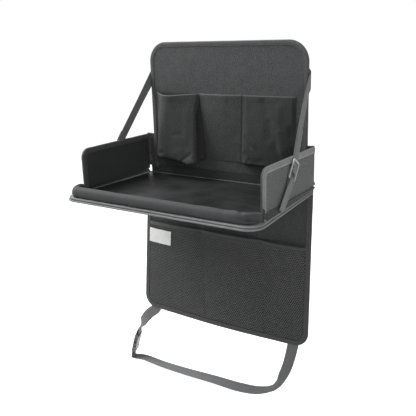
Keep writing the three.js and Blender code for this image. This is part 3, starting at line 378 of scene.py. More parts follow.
cover_cloth = make_finish("cover cloth", woven(44, 84, 0.75), sheen=0.12, sheen_roughness=0.4)
lining_cloth = make_finish("lining cloth", woven(22, 42, 0.6), sheen=0.08)


def upper_corners(inset):
    half, top, radius = upper_half - inset, upper_top - inset, upper_radius - inset
    return [(half, upper_bottom, 0), (half, top, radius), (-half, top, radius), (-half, upper_bottom, 0)]


def crowded(low, high, count, crowd):
    """Places from low to high that lie closer together towards high"""
    return low + (high - low) * (1 - (1 - np.linspace(0, 1, count)) ** crowd)


def row_grid(edge, low, high, rows, columns, crowd):
    """Points inside an outline that is the same left and right, as x and y grids"""
    right = edge[edge[:, 0] > 0]
    order = np.argsort(right[:, 1])
    places = crowded(low, high, rows, crowd)
    halves = np.interp(places, right[order, 1], right[order, 0])
    return halves[:, None] * np.linspace(-1, 1, columns)[None, :], np.repeat(places[:, None], columns, 1)


upper_edge = rounded_line(upper_corners(cover_inset), pitch=2)
x, y = row_grid(upper_edge, upper_bottom, upper_top - cover_inset - 0.01, 90, 110, 1.6)
from_edge = np.minimum(upper_half - np.abs(x), upper_top - y)
clear_of_edge = np.clip((from_edge - 8) / 30, 0, 1)
pucker = np.exp(-((from_edge - 13) / 5) ** 2) * ripple(x, y, 3, 16) * 0.22
swell = np.clip((y - 186) / 40, 0, 1) * clear_of_edge
front = upper_face + pucker + swell * (0.5 + 0.5 * ripple(x, y, 5, 90))
back = 0.15 * ripple(x, y, 8, 60) * clear_of_edge
for label, slot, face, middle in (("front", "cloth", front, upper_face - cover_thick),
                                  ("back", "lining", back, cover_thick)):
    lay_sheet(f"upper_{label}_cover_cloth", spots_of(x, y, face), spots_of(x, y, middle),
              in_upper, cover_cloth, ("back_panel", slot, f"upper_{label}_cover"),
              flat=(0.375, 0.298), held="stretched", rests_on="upper_board")

# Stiffening boards: sheets of extruded polypropylene inside the panel, the tray and the wings.
# They show nowhere but keep the finish of such sheets, faint lines from the rollers.


def board_build(start):
    place = object_place(start)
    lines = (place.axes()[0] * 2600).sine()
    mottle = cloud(start, place, 60)
    return mottle.between(paint(52), paint(64)), mottle * 0.2 + 0.45, lines * 0.5 + mottle, 0.00008


board_finish = make_finish("rolled board", board_build)
for node in ("upper_board", "tray_board", "wing_left_board", "wing_right_board"):
    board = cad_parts[node]
    for place in board.material_slots:
        place.material = board_finish

# Binding of the upper panel: grosgrain tape folded over the edges of board and covers and sewn
# through with one row of lockstitch. It stays open at the fold with the lower panel.
tape_thickness, tape_band, cloth_gap, sewn_in = 0.8, 10, 0.3, 1.7


def ribbed(level_dark, level_light, rib, depth=0.00025, slope=0.0):
    """Ribs across the tape, a rib's width in millimetres apart"""
    def build(start):
        place, along, across = cloth_places(start)
        ribs = waves(along + across * slope, rib) * 0.5 + 0.5
        threads = waves(across, 0.9) * 0.5 + 0.5
        mottle = cloud(start, place, 60, 4)
        fibre = cloud(start, place, 1400, 2)
        shade = (ribs * 0.4 + mottle * 0.6 + fibre * 0.6 - 0.35).clamped()
        colour = shade.between(paint(level_dark), paint(level_light, level_light + 1, level_light + 3))
        return colour, mottle * 0.2 + 0.6, ribs + threads * 0.35, depth
    return build


def spun(level_dark, level_light):
    """Sewing thread of two twisted yarns"""
    def build(start):
        place = object_place(start)
        mottle = cloud(start, place, 300)
        fibre = start.node("ShaderNodeTexWave", {"bands_direction": "DIAGONAL"}, {
            "Vector": place, "Scale": 900.0, "Distortion": 1.0}, 1)
        return mottle.between(paint(level_dark), paint(level_light)), mottle * 0.2 + 0.5, fibre, 0.00005
    return build


binding_tape = make_finish("binding tape", ribbed(40, 92, 1.5), sheen=0.15)
sewing_thread = make_finish("sewing thread", spun(88, 118))
dark_thread = make_finish("dark sewing thread", spun(26, 42))


def tape_section(low, high, band, thickness, round_to=2.6):
    """Outline of tape folded over a stack, as (outward, height), with a valley where it is sewn"""
    top, bottom = high + cloth_gap + thickness, low - cloth_gap - thickness
    radius = min(round_to, (top - bottom) / 2 - 0.05)
    side = [(-band, 0.12), (-band + 0.1, 0.75), (-band + 0.5, 1.0), (-band + 1.0, 0.86),
            (-band + 1.7, 0.55), (-band + 2.4, 0.86), (-band + 3.2, 1.0)]
    up = [(out, high + (top - high) * share) for out, share in side]
    arc = np.linspace(math.pi / 2, 0, 6)
    up += [(-radius + radius * math.cos(a), top - radius + radius * math.sin(a)) for a in arc]
    down = [(out, low - (low - bottom) * share) for out, share in side]
    down += [(-radius + radius * math.cos(a), bottom + radius - radius * math.sin(a)) for a in arc]
    inner = thickness + 0.12
    fold = [(-inner - 0.5, low - 0.04), (-inner, low + 0.4),
            (-inner, high - 0.4), (-inner - 0.5, high + 0.04)]
    return np.array(up + down[::-1] + fold, float)


def edge_band(line, section, wobble=0.0, seed=1):
    """Rows of a section carried along a flat line that runs anticlockwise"""
    rails = np.stack([offset_line(line, out) for out in section[:, 0]], 1)
    rows = np.concatenate([rails, np.repeat(section[None, :, 1:], len(line), 0)], 2)
    if wobble:
        length = run_length(line)
        shift = ripple(length, 0 * length, seed, 30) * wobble
        tangent = offset_line(line, 1) - line
        rows[:, :, :2] += (tangent * shift[:, None])[:, None, :]
        rows[:, :, 2] += (ripple(length, 0 * length + 40, seed + 1, 45) * wobble)[:, None]
    return rows


def node_group(name, sockets, build):
    """Geometry Nodes and the identifiers of their named inputs. What build lays out is realized and
    gets the thread's material"""
    tree = bpy.data.node_groups.new(name, "GeometryNodeTree")
    identifiers = {}
    for label, kind, value in sockets:
        socket = tree.interface.new_socket(label, in_out="INPUT", socket_type="NodeSocket" + kind)
        if value is not None:
            socket.default_value = value
        identifiers[label] = socket.identifier
    tree.interface.new_socket("Made", in_out="OUTPUT", socket_type="NodeSocketGeometry")
    start = Wire(tree)
    source = start.node("NodeGroupInput")
    laid = build(start, {label: source.other(label) for label in identifiers})
    real = start.node("GeometryNodeRealizeInstances", {}, {"Geometry": laid})
    dressed = start.node("GeometryNodeSetMaterial", {}, {
        "Geometry": real, "Material": source.other("Thread")})
    start.node("NodeGroupOutput", {}, {0: dressed})
    return tree, identifiers


def stitch_nodes(start, given):
    """Short stitches along a path, a pitch apart, square to the cloth's face"""
    curve = start.node("GeometryNodeMeshToCurve", {}, {"Mesh": given["Path"]})
    spaced = start.node("GeometryNodeResampleCurve", {"mode": "LENGTH"}, {
        "Curve": curve, "Length": given["Pitch"]})
    face = start.node("GeometryNodeInputNamedAttribute", {"data_type": "FLOAT_VECTOR"}, {"Name": "face"})
    turn = start.node("FunctionNodeAxesToRotation", {"primary_axis": "X", "secondary_axis": "Z"}, {
        "Primary Axis": start.node("GeometryNodeInputTangent"), "Secondary Axis": face})
    ball = start.node("GeometryNodeMeshUVSphere", {}, {"Segments": 6, "Rings": 4, "Radius": 0.5})
    size = start.node("ShaderNodeCombineXYZ", {}, {
        "X": given["Length"], "Y": given["Width"], "Z": given["Height"]})
    stitch = start.node("GeometryNodeTransform", {}, {"Geometry": ball, "Scale": size})
    jitter = start.node("FunctionNodeRandomValue", {"data_type": "FLOAT_VECTOR"}, {
        "Min": (0.88, 0.88, 0.9), "Max": (1.06, 1.12, 1.1), "Seed": 7})
    return start.node("GeometryNodeInstanceOnPoints", {}, {
        "Points": spaced, "Instance": stitch, "Rotation": turn, "Scale": jitter})


lockstitch = node_group("row of lockstitch", (
    ("Path", "Geometry", None), ("Pitch", "Float", 0.0032), ("Length", "Float", 0.0025),
    ("Width", "Float", 0.0008), ("Height", "Float", 0.0005), ("Thread", "Material", None)), stitch_nodes)


def evaluated(piece):
    """A plain mesh of the piece as its modifiers make it"""
    bpy.context.view_layer.update()
    return bpy.data.meshes.new_from_object(piece.evaluated_get(bpy.context.evaluated_depsgraph_get()))


def grown(piece, group, values):
    """The piece as a node group makes it, as a plain mesh with the modifier gone"""
    tree, identifiers = group
    modifier = piece.modifiers.new("made", "NODES")
    modifier.node_group = tree
    for label, value in values.items():
        modifier[identifiers[label]] = value
    mesh = evaluated(piece)
    mesh.name = piece.name
    piece.modifiers.remove(modifier)
    piece.data = mesh
    mesh.polygons.foreach_set("use_smooth", [True] * len(mesh.polygons))
    return piece


def sew(name, rows, place, body, pitch=3.2, length=2.5, width=0.8, height=0.5, thread=sewing_thread):
    """Rows of stitches, each (points, face direction) in millimetres"""
    points, edges, faces = [], [], []
    origin = place(np.zeros((1, 3)))
    for line, face in rows:
        line = np.asarray(line, float)
        face = np.broadcast_to(np.asarray(face, float), line.shape)
        edges += [(len(points) + i, len(points) + i + 1) for i in range(len(line) - 1)]
        points += (place(line) * MM).tolist()
        faces += (place(np.array(face)) - origin).tolist()
    seam = add_mesh(name, points, edges, [])
    attribute = seam.data.attributes.new("face", "FLOAT_VECTOR", "POINT")
    attribute.data.foreach_set("vector", np.array(faces, np.float32).ravel())
    grown(seam, lockstitch, {"Pitch": pitch * MM, "Length": length * MM, "Width": width * MM,
                             "Height": height * MM, "Thread": thread})
    return carry(seam, body, "tape")


def raised(line, height):
    return np.concatenate([line, np.full((len(line), 1), float(height))], 1)


def both_faces(line, front, back):
    return [(raised(line, front), (0, 0, 1)), (raised(line, back), (0, 0, -1))]


upper_rim = rounded_line(upper_corners(0), pitch=3)
upper_tape = make_piece("upper_binding_tape", tube(edge_band(
    upper_rim, tape_section(0, upper_face, tape_band, tape_thickness), wobble=0.12, seed=11,
)), in_upper, binding_tape)
carry(upper_tape, "back_panel", "tape", "upper_binding")
stand = cloth_gap + tape_thickness * 0.6
sew("upper_binding_stitches",
    both_faces(offset_line(upper_rim, sewn_in - tape_band), upper_face + stand, -stand),
    in_upper, "back_panel", pitch=4.2, length=2.8, width=1.2, thread=dark_thread)

# Bottle pockets: bellows bags of the cover cloth, with a double hem at the mouth, gussets that fold
# in at the sides and a floor, sewn to the upper panel. They sag and crease under their own weight.
pocket_back, pocket_top, pocket_seam = -5.7, 182.5, 43.0
pocket_depth, pocket_bulge, pocket_thick = 44.0, 3.0, 1.1
hem_deep, hem_sewn = 11.5, 10.4
left_pocket = dict(corners=(34.0, 12.0), rear_left=(-0.922, -0.92), front_left=(-0.7, -0.862),
                   front_right=(-0.345, -0.262), rear_right=(-0.32, -0.244), left_depth=(0.72, 0.74),
                   right_depth=(0.12, 0.9), drops=(0.04, 0.24), dips=(5.2, 1.4))
right_pocket = dict(corners=(20.0, 5.0), rear_left=(0.232, 0.218), front_left=(0.3, 0.275),
                    front_right=(0.852, 0.838), rear_right=(0.872, 0.88), left_depth=(0.08, 0.3),
                    right_depth=(0.06, 0.22), drops=(0.13, 0.22), dips=(2.2, 0.4))
# Both pockets are the cover cloth in darker tones as painted shade, the right one darkest. The left one is
# painted nearly black over its right gusset as painted shade, and both have a painted highlight along the
# fold of the hem.
pocket_cloths = {
    "left": make_finish("left pocket cloth", woven(18, 48, 0.75, worn=96, painted_shade_from=(154, 120)),
                        sheen=0.1, sheen_roughness=0.4),
    "right": make_finish("right pocket cloth", woven(16, 40, 0.75, worn=84), sheen=0.1, sheen_roughness=0.4)}


def mix(pair, share):
    return pair[0] + (pair[1] - pair[0]) * share


def crease(s, t, start, end, width, depth):
    """A soft fold between two points of the cloth, distances from its left seam and its mouth in
    millimetres, that fades at its ends"""
    start, end = np.array(start, float), np.array(end, float)
    length = np.linalg.norm(end - start)
    axis = (end - start) / length
    along = ((s - start[0]) * axis[0] + (t - start[1]) * axis[1]) / length
    off = (s - start[0]) * -axis[1] + (t - start[1]) * axis[0]
    fade = np.clip(np.minimum(along, 1 - along) * 4 + 0.35, 0, 1)
    fade = np.where((along < -0.2) | (along > 1.2), 0, fade)
    beyond = np.maximum(np.maximum(-along, along - 1), 0) * length
    return depth * fade * np.exp(-(off / width) ** 2 - (beyond / width) ** 2)


def pocket_line(pocket, share, columns):
    """The bag's plan at a share of its height, from seam to seam, with rounded front corners"""
    across = lambda key: mix(pocket[key], share) * upper_half
    depth = lambda key: pocket_back - mix(pocket[key], share) * pocket_depth
    left, right = across("front_left"), across("front_right")
    middle = ((left + right) / 2, (depth("left_depth") + depth("right_depth")) / 2
              - pocket_bulge * (0.1 + math.sin(math.pi * share)), 120)
    line = rounded_line([
        (across("rear_left"), pocket_back, 0), (left, depth("left_depth"), pocket["corners"][0]), middle,
        (right, depth("right_depth"), pocket["corners"][1]), (across("rear_right"), pocket_back, 0),
    ], pitch=1.5)
    return at_lengths(line, np.linspace(0, run_length(line)[-1], columns))


def bellows_bag(name, pocket, folds, finish, columns=120, wall_rows=64, floor_rows=14):
    left = pocket["front_left"][0] * upper_half
    right = pocket["front_right"][0] * upper_half
    rear = [np.array([pocket[key][1] * upper_half, pocket_back]) for key in ("rear_left", "rear_right")]
    side = lambda x: np.clip((x - left) / (right - left), 0, 1)
    ahead = lambda y: np.clip((pocket_back - y) / pocket_depth, 0, 1)
    wall = []
    for share in (0, 0.005, 0.011, 0.018, *np.linspace(0.026, 1, wall_rows - 4)):
        plan = pocket_line(pocket, share, columns)
        dip = np.interp(side(plan[:, 0]), (0, 0.2, 0.55, 1), (1.0, 1.15, 0.75, 0))
        top = pocket_top - ahead(plan[:, 1]) * (pocket["dips"][0] * dip + pocket["dips"][1] * (1 - dip))
        low, high = pocket["drops"]
        drop = (low + (high - low) * side(plan[:, 0])) * pocket_depth
        floor = pocket_seam - drop * ahead(plan[:, 1])
        wall.append(np.stack([plan[:, 0], plan[:, 1], top + (floor - top) * share], 1))
    wall = np.array(wall)
    share = np.linspace(0, 1, columns)[:, None]
    rear_line = raised(rear[0] * (1 - share) + rear[1] * share, pocket_seam)
    floor = np.array([wall[-1] + (rear_line - wall[-1]) * f for f in np.linspace(0, 1, floor_rows)[1:]])
    rows = np.concatenate([wall, floor])
    # rounds the turn from the front into the floor
    first, last = wall_rows - 5, wall_rows + 4
    for _ in range(5):
        rows[first:last] = (rows[first - 1:last - 1] + rows[first + 1:last + 1] + 2 * rows[first:last]) / 4
    s, t = np.meshgrid(run_length(wall[wall_rows // 2]), run_length(rows[:, columns // 2]))
    du, dv = np.gradient(rows, axis=1), np.gradient(rows, axis=0)
    normal = np.cross(dv, du)
    normal /= np.maximum(np.linalg.norm(normal, axis=2), 1e-9)[..., None]
    if normal[wall_rows // 2, columns // 2, 1] > 0:
        normal = -normal
    lift = sum(size * ripple(s, t, seed, wave) * (np.clip(t / 60, 0, 1) if sags else 1)
               for size, seed, wave, sags in folds["ripples"])
    lift = lift + sum(crease(s, t, *numbers) for numbers in folds["creases"](s.max()))
    pinned = np.clip(np.minimum(s, s.max() - s) / 8, 0, 1) * np.clip((t.max() - t) / 12, 0, 1)
    hem = np.clip((hem_deep - t) / 0.8, 0, 1) * 0.45 - 0.35 * np.exp(-((t - hem_sewn) / 0.7) ** 2)
    hem -= 1.3 * np.clip(1 - t / 2.6, 0, 1) ** 2
    outer = rows + normal * (lift * pinned + hem)[..., None]
    inner = rows + normal * (lift * pinned - pocket_thick)[..., None]
    for face in (outer, inner):
        face[..., 1] = np.minimum(face[..., 1], pocket_back)
    bag = make_piece(name, slab(outer, inner), in_row, finish, sharp=60)
    hem_row = int(np.argmin(np.abs(t[:, 0] - hem_sewn)))
    return bag, outer[hem_row], normal[hem_row]


# the left pocket has a pinched lower right corner, a low sag and a gusset folded in, the right one
# crossed creases low on the left and long soft folds at the right
left_folds = dict(ripples=((0.9, 21, 70, True), (0.25, 22, 26, False)), creases=lambda wide: (
    ((70, 88), (84, 81), 3.5, -0.9), ((84, 81), (98, 83), 3.5, -0.9),
    ((wide - 65, 141), (wide - 36, 118), 3.2, -1.8), ((wide - 49, 146), (wide - 36, 131), 8, 3.2),
    ((wide - 81, 128), (wide - 51, 114), 8, 1.3), ((28, 136), (46, 126), 5, -1.8),
    ((52, 138), (80, 140), 5, -1.0), ((wide - 4, 24), (wide - 18, 150), 8.5, -12.0),
    ((wide - 34, 26), (wide - 46, 96), 9, 1.6), ((14, 8), (15, 130), 6.0, -1.2)))
right_folds = dict(ripples=((0.8, 31, 80, True), (0.25, 32, 28, False)), creases=lambda wide: (
    ((12, 82), (34, 108), 4, -2.4), ((18, 74), (40, 104), 6, 1.8), ((12, 118), (28, 136), 5, -2.2),
    ((26, 122), (16, 142), 5, 1.6), ((12, 40), (26, 76), 7, 1.2), ((34, 138), (62, 128), 6, -1.2),
    ((50, 6), (66, 42), 8, -2.4), ((66, 42), (72, 92), 9, -2.4), ((92, 14), (88, 60), 9, 1.8),
    ((90, 60), (102, 118), 9, 3.4), ((80, 92), (98, 138), 7, -2.6),
    ((wide - 12, 60), (wide - 8, 128), 7, -4.4), ((wide - 4, -4), (wide - 4, 150), 2.6, -2.4)))
fine_stitch = dict(pitch=3.0, length=2.3, width=0.6, height=0.35, thread=dark_thread)
for label, pocket, folds, flat in (("left", left_pocket, left_folds, (0.172, 0.18)),
                                   ("right", right_pocket, right_folds, (0.15, 0.165))):
    # a dark sheet of lining behind the mouth is painted shade inside the pocket
    u, v = shares(30, 8)
    rear_left, rear_right = (pocket[key][0] * upper_half for key in ("rear_left", "rear_right"))
    shade_sheet_x = rear_left + 1.5 + (rear_right - rear_left - 3) * u
    shade_sheet = spots_of(shade_sheet_x, pocket_back - 0.05, pocket_top - 0.4 - 16 * v)
    lay_sheet(f"bottle_pocket_{label}_facing", shade_sheet - (0, 0.5, 0), shade_sheet, in_row, lining_cloth,
              ("back_panel", "lining"), flat=(0.108, 0.016), held="laid", rests_on="upper_front_cover_cloth")
    bag, hem_line, hem_face = bellows_bag(f"bottle_pocket_{label}_bag", pocket, folds, pocket_cloths[label])
    carry(bag, "back_panel", "cloth", f"bottle_pocket_{label}")
    hem_line, hem_face = hem_line[3:-3], hem_face[3:-3]
    seam = sew(f"bottle_pocket_{label}_hem_stitches", [(hem_line + hem_face * 0.1, hem_face)],
               in_row, "back_panel", **fine_stitch)
    for piece in (bag, seam):
        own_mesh(piece)

# Flat pocket: one layer of cover cloth between the bottle pockets, hemmed at the mouth, where it
# stands a little open, and sewn down along its foot.
flat_rows, flat_hem_sewn = 60, 10
u, v = shares(60, flat_rows)
down = v * (pocket_top - pocket_seam)
flat_left = mix(left_pocket["rear_right"], v) * upper_half + 0.8
flat_right = mix(right_pocket["rear_left"], v) * upper_half - 0.8
flat_x = flat_left + (flat_right - flat_left) * u
flat_z = pocket_top + (pocket_seam - pocket_top) * v
open_by = 5.6 * np.sin(math.pi * u) * (1 - v * v)
edge_fade = np.clip(np.minimum(np.minimum(u, 1 - u) * 8, (1 - v) * 8), 0, 1)
drape = 0.5 * ripple(flat_x, flat_z, 41, 40) * edge_fade
hem = np.clip((11 - down) / 0.8, 0, 1) * 0.4 - 0.3 * np.exp(-((down - flat_hem_sewn) / 0.7) ** 2)
hem -= 0.9 * np.clip(1 - down / 2.6, 0, 1) ** 2
flat_y = pocket_back - np.maximum(open_by + drape, 0)
flat_front = spots_of(flat_x, flat_y - pocket_thick - hem, flat_z)
# the flat pocket is the cover cloth in a darker tone as painted shade between the bottle pockets, with a
# painted highlight along the fold of its hem
flat_cloth = make_finish("flat pocket cloth", woven(34, 69, 0.75, worn=104), sheen=0.1)
lay_sheet("flat_pocket_cloth", flat_front, spots_of(flat_x, flat_y, flat_z), in_row, flat_cloth,
          ("back_panel", "cloth", "flat_pocket"),
          flat=(0.105, 0.14), held="hung", rests_on="upper_front_cover_cloth")
hem_row, foot_row = int(flat_hem_sewn / (pocket_top - pocket_seam) * flat_rows), flat_rows - 3
sew("flat_pocket_stitches", [(flat_front[row] - (0, 0.1, 0), (0, -1, 0)) for row in (hem_row, foot_row)],
    in_row, "back_panel", **fine_stitch)

# Corner strips: strips of lining that close the rear corners between the panel's edges and the
# wings. They fold up as the tray does, and the left one has slipped down and lies crumpled.
# a painted highlight runs along the top edge of each strip
strip_cloth = make_finish("strip cloth", woven(18, 36, 0.6, worn=120), sheen=0.08)
strip_half, strip_top = 188.8, 88.5
for label, side, crumple, foot_z in (("left", -1, 1.0, 14.5), ("right", 1, 0.35, 12)):
    u, v = shares(24, 50)
    widest = 18.4 if label == "left" else 15.2 + 2.8 * np.clip((v - 0.9) * 20, 0, 1)
    strip_x = side * (strip_half + widest * u)
    strip_z = strip_top + (foot_z - strip_top) * v + 1.5 * u * (1 - v)
    slack = crumple * (1.1 * np.sin(v * 19 + u * 2) * v + 0.8 * ripple(strip_x, strip_z, 51 + side, 16))
    strip_y = -3.2 + slack * np.sin(math.pi * u) * 0.9 - 1.6 * u * u
    strip = lay_sheet(f"corner_strip_{label}_cloth", *upright_faces(strip_x, strip_y, strip_z, 0.6),
                      in_row, strip_cloth, ("back_panel", "lining", f"corner_strip_{label}"),
                      flat=(0.0195, 0.079), held="hung")
    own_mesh(strip)
u, v = shares(26, 20)
flap_x = -196.6 + 23 * u
flap_z = 22 - 12.2 * v * (1 - 0.25 * u) + 1.2 * np.sin(u * 9 + v * 2)
flap_y = -7.6 - 1.7 * np.sin(u * 8 + v * 3) - 3.0 * v * np.sin(math.pi * u) ** 2
flap = lay_sheet("corner_flap_cloth", *upright_faces(flap_x, flap_y, flap_z, 0.5),
                 in_row, cover_cloth, ("back_panel", "lining"), flat=(0.026, 0.0125), held="hung")
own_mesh(flap)

# Tray covers: a coated wipe-clean cloth over the board and a plain cover cloth under it. The coated
# cloth shows faint waves where it isn't glued down.
tray_rear, tray_front, tray_rear_half, tray_front_half = -9.2, -270.5, 205.0, 220.5
tray_corner, flange_width, flange_sewn = 31.0, 11.5, 5.0
tray_base_top, tray_base_low = -5.4, -6.6


def tray_half_at(y):
    return tray_rear_half + (tray_front_half - tray_rear_half) * (tray_rear - y) / (tray_rear - tray_front)


def tray_corners(inset):
    rear_half, front = tray_rear_half - inset, tray_front + inset
    front_half, radius = tray_half_at(front) - inset, tray_corner - inset
    return [(-rear_half, tray_rear, 0), (-front_half, front, radius),
            (front_half, front, radius), (rear_half, tray_rear, 0)]


def coated(start):
    place = cloth_places(start)[0]
    grain = start.node("ShaderNodeTexVoronoi", {}, {"Vector": place, "Scale": 900.0})
    mottle = cloud(start, place, 25, 5)
    wipe = cloud(start, place, 6, 3)
    colour = (mottle * 0.7 + wipe * 0.4 - 0.05).clamped().between(paint(19), paint(38, 39, 40))
    return colour, mottle * 0.3 + wipe * 0.25 + 0.14, grain * 0.3 + mottle, 0.00016


coated_cloth = make_finish("coated cloth", coated, specular=0.5)
inset = flange_width + cloth_gap
tray_edge = rounded_line(tray_corners(inset), pitch=2)
x, y = row_grid(tray_edge, tray_rear, tray_front + inset + 0.01, 80, 130, 1.5)
from_edge = np.minimum(np.minimum(x[:, -1:] - np.abs(x), y - tray_front - inset) - 14, tray_rear - y - 6)
inside = np.clip(from_edge / 25, 0, 1)
swell = 0.35 * ripple(x * 0.35, y, 61, 22) + 0.4 * ripple(x * 0.6, y, 62, 60)
swell += 0.5 * np.sin(y / 4.6 + x / 60) * np.exp(-((x - 120) / 70) ** 2 - ((y + 150) / 70) ** 2) * 0.6
under = tray_base_low - 0.2 * ripple(x, y, 63, 70) * inside
for label, slot, finish, top, bottom in (
        ("top", "coated", coated_cloth, swell * inside * 0.8, -cover_thick),
        ("base", "cloth", cover_cloth, tray_base_top, under)):
    lay_sheet(f"tray_{label}_cover_cloth", spots_of(x, y, top), spots_of(x, y, bottom),
              in_row, finish, ("tray", slot, f"tray_{label}_cover"),
              flat=(0.412, 0.25), held="stretched", rests_on="tray_board")

# Seam edges of the tray: the covers' edges are turned out and bound, one above the other, in a soft
# round tape with a row of stitches, and a narrow piping closes the rear edge of the coated cloth.
piping_tape = make_finish("piping tape", ribbed(72, 134, 1.2, 0.0002), sheen=0.15)
edge_tape = make_finish("edge tape", ribbed(86, 158, 1.2, 0.0002), sheen=0.2)


def bound_edge(low, thick, width):
    high = low + thick
    radius = thick / 2
    arc = np.linspace(math.pi / 2, -math.pi / 2, 9)
    nose = [(-radius + radius * math.cos(a), low + radius + radius * math.sin(a)) for a in arc]
    return np.array([(-width, high - 0.25), (-width + 1.5, high), (-4.4, high - 0.05), (-3.7, high - 0.45),
                     (-3.0, high - 0.05), *nose, (-3.0, low + 0.05), (-3.7, low + 0.45),
                     (-4.4, low + 0.05), (-width + 1.5, low), (-width, low + 0.25)], float)


flange_line = rounded_line(tray_corners(0), pitch=3)
for label, low, out, seed in (("upper", -4.1, -1.3, 71), ("lower", -8.2, 0.9, 74)):
    rows = edge_band(flange_line, bound_edge(low, 3.5, flange_width) + (out, 0), wobble=0.18, seed=seed)
    nose = np.clip((np.abs(rows[..., 0]) - tray_half_at(rows[..., 1]) + 6) / 6, 0, 1)
    rows[..., 2] += 2.6 * nose * np.clip((rows[..., 1] + 230) / 215, 0, 1)
    edge = make_piece(f"tray_edge_{label}_tape", tube(rows), in_row, edge_tape)
    carry(edge, "tray", "tape", f"tray_edge_{label}")
sew("tray_edge_stitches", both_faces(offset_line(flange_line, -flange_sewn), -1.1, -7.7),
    in_row, "tray", length=2.4, width=0.7, height=0.4)


def round_rows(x, y, z, deep, high, steps):
    """Rows round a line that runs along x, from the line's places and its half thicknesses"""
    turn = np.linspace(0, 2 * math.pi, steps, endpoint=False)
    x, y, z, deep, high = (np.asarray(value, float).reshape(-1, 1) for value in (x, y, z, deep, high))
    return spots_of(x, y + deep * np.cos(turn), z + high * np.sin(turn))


u = np.linspace(-1, 1, 90) * 197.5
rear_piping = make_piece("tray_rear_piping", tube(round_rows(
    u - 5.5, 0.4 * ripple(u, 0 * u, 77, 90) - 11.2, 0.2, 1.1, 0.95, 10)), in_row, piping_tape)
carry(rear_piping, "tray", "tape")

# Front wall: a roll of foam in a sleeve of cover cloth that runs round the tray's front, sewn into
# the edge at its foot and flattened at both ends where the wings stand.
wall_height, wall_thick, wall_inset, wall_stop, wall_foot = 20.6, 19.0, 12.6, -223.6, 0.3
wall_profile = np.array([
    (-0.44, 0.02), (-0.49, 0.14), (-0.51, 0.32), (-0.51, 0.52), (-0.48, 0.7), (-0.42, 0.84), (-0.33, 0.94),
    (-0.2, 0.99), (-0.05, 1), (0.09, 0.96), (0.22, 0.88), (0.33, 0.76), (0.42, 0.61), (0.48, 0.44),
    (0.51, 0.27), (0.51, 0.12), (0.47, 0.02), (0.2, 0), (-0.15, 0)], float)
wall_side = tray_half_at(wall_stop) - wall_inset
wall_round = rounded_line(tray_corners(wall_inset), pitch=2)
wall_round = wall_round[wall_round[:, 1] < wall_stop - 1]
wall_line = np.array([(-wall_side, wall_stop), *wall_round, (wall_side, wall_stop)])
section = np.stack([wall_profile[:, 0] * wall_thick, wall_foot + wall_profile[:, 1] * wall_height], 1)
lengths = run_length(wall_line)
wall_length = lengths[-1]


def read(things, key):
    """One property of all points of a mesh, three values to a row"""
    values = np.empty(len(things) * 3, np.float32)
    things.foreach_get(key, values)
    return values.reshape(-1, 3)


def write(mesh, points):
    mesh.vertices.foreach_set("co", points.astype(np.float32).ravel())
    mesh.update()


def puffed(piece, voxel, pressure, cap, sink, frames=20):
    """The pad as its cover cloth swells under the filling's pressure, no point further than a cap"""
    remesh = piece.modifiers.new("even", "REMESH")
    remesh.mode, remesh.voxel_size = "VOXEL", voxel
    even = evaluated(piece)
    piece.modifiers.remove(remesh)
    material = piece.data.materials[0]
    piece.data = even
    if not even.materials:
        even.materials.append(material)
    before = read(even.vertices, "co")
    pinned = piece.vertex_groups.new(name="sewn foot")
    pinned.add([int(i) for i in np.nonzero(before[:, 2] < sink)[0]], 1.0, "REPLACE")
    cloth = piece.modifiers.new("filling", "CLOTH")
    settings = cloth.settings
    settings.use_pressure, settings.uniform_pressure_force = True, pressure
    settings.effector_weights.gravity = 0
    settings.vertex_group_mass = "sewn foot"
    settings.tension_stiffness = settings.compression_stiffness = 40
    settings.bending_stiffness = 2.0
    cloth.collision_settings.use_collision = False
    cloth.point_cache.frame_start, cloth.point_cache.frame_end = 1, frames
    for step in range(1, frames + 1):
        bpy.context.scene.frame_set(step)
    move = read(evaluated(piece).vertices, "co") - before
    move *= np.minimum(1, cap / np.maximum(np.linalg.norm(move, axis=1, keepdims=True), 1e-9))
    piece.modifiers.remove(cloth)
    piece.vertex_groups.clear()
    bpy.context.scene.frame_set(1)
    write(even, before + move)
    finer = piece.modifiers.new("finer", "SUBSURF")
    finer.levels = finer.render_levels = 1
    fine = evaluated(piece)
    piece.modifiers.remove(finer)
    fine.polygons.foreach_set("use_smooth", [True] * len(fine.polygons))
    piece.data = fine


# the roll is slimmer towards its ends
wall_rows = edge_band(wall_line, section)
slim = (0.66 + 0.34 * np.clip(np.minimum(lengths, wall_length - lengths) / 16, 0, 1) ** 0.6)[:, None]
low, centre = section[:, 1].min(), (section[:, 0].max() + section[:, 0].min()) / 2
middle = offset_line(wall_line, centre)[:, None]
wall_rows[:, :, :2] = middle + (wall_rows[:, :, :2] - middle) * slim[..., None]
wall_rows[:, :, 2] = low + (wall_rows[:, :, 2] - low) * slim
# the sleeve is the cover cloth in a darker tone, as painted shade
wall_cloth = make_finish("wall cloth", woven(31, 64, 0.75), sheen=0.12, sheen_roughness=0.4)
front_wall = make_piece("front_wall_pad", tube(wall_rows), in_row, wall_cloth, sharp=60)
puffed(front_wall, voxel=0.0042, pressure=4.0, cap=0.0012, sink=0.0016)
wall_points = read(front_wall.data.vertices, "co").astype(float) / MM
nearest = np.argmin(np.linalg.norm(wall_points[:, None, :2] - wall_line[None, :, :], axis=2), axis=1)
s = lengths[nearest]
to_end = wall_length - s
height = np.clip((wall_points[:, 2] - wall_foot) / wall_height, 0, 1)
wall_across = offset_line(wall_line, 1) - wall_line
outward = ((wall_points[:, :2] - wall_line[nearest]) * wall_across[nearest]).sum(1) / wall_thick * 2
dents = 0.35 * ripple(s, height * 30 + outward * 9, 81, 60)
dents += 0.15 * ripple(s, height * 20 + outward * 9, 82, 22)
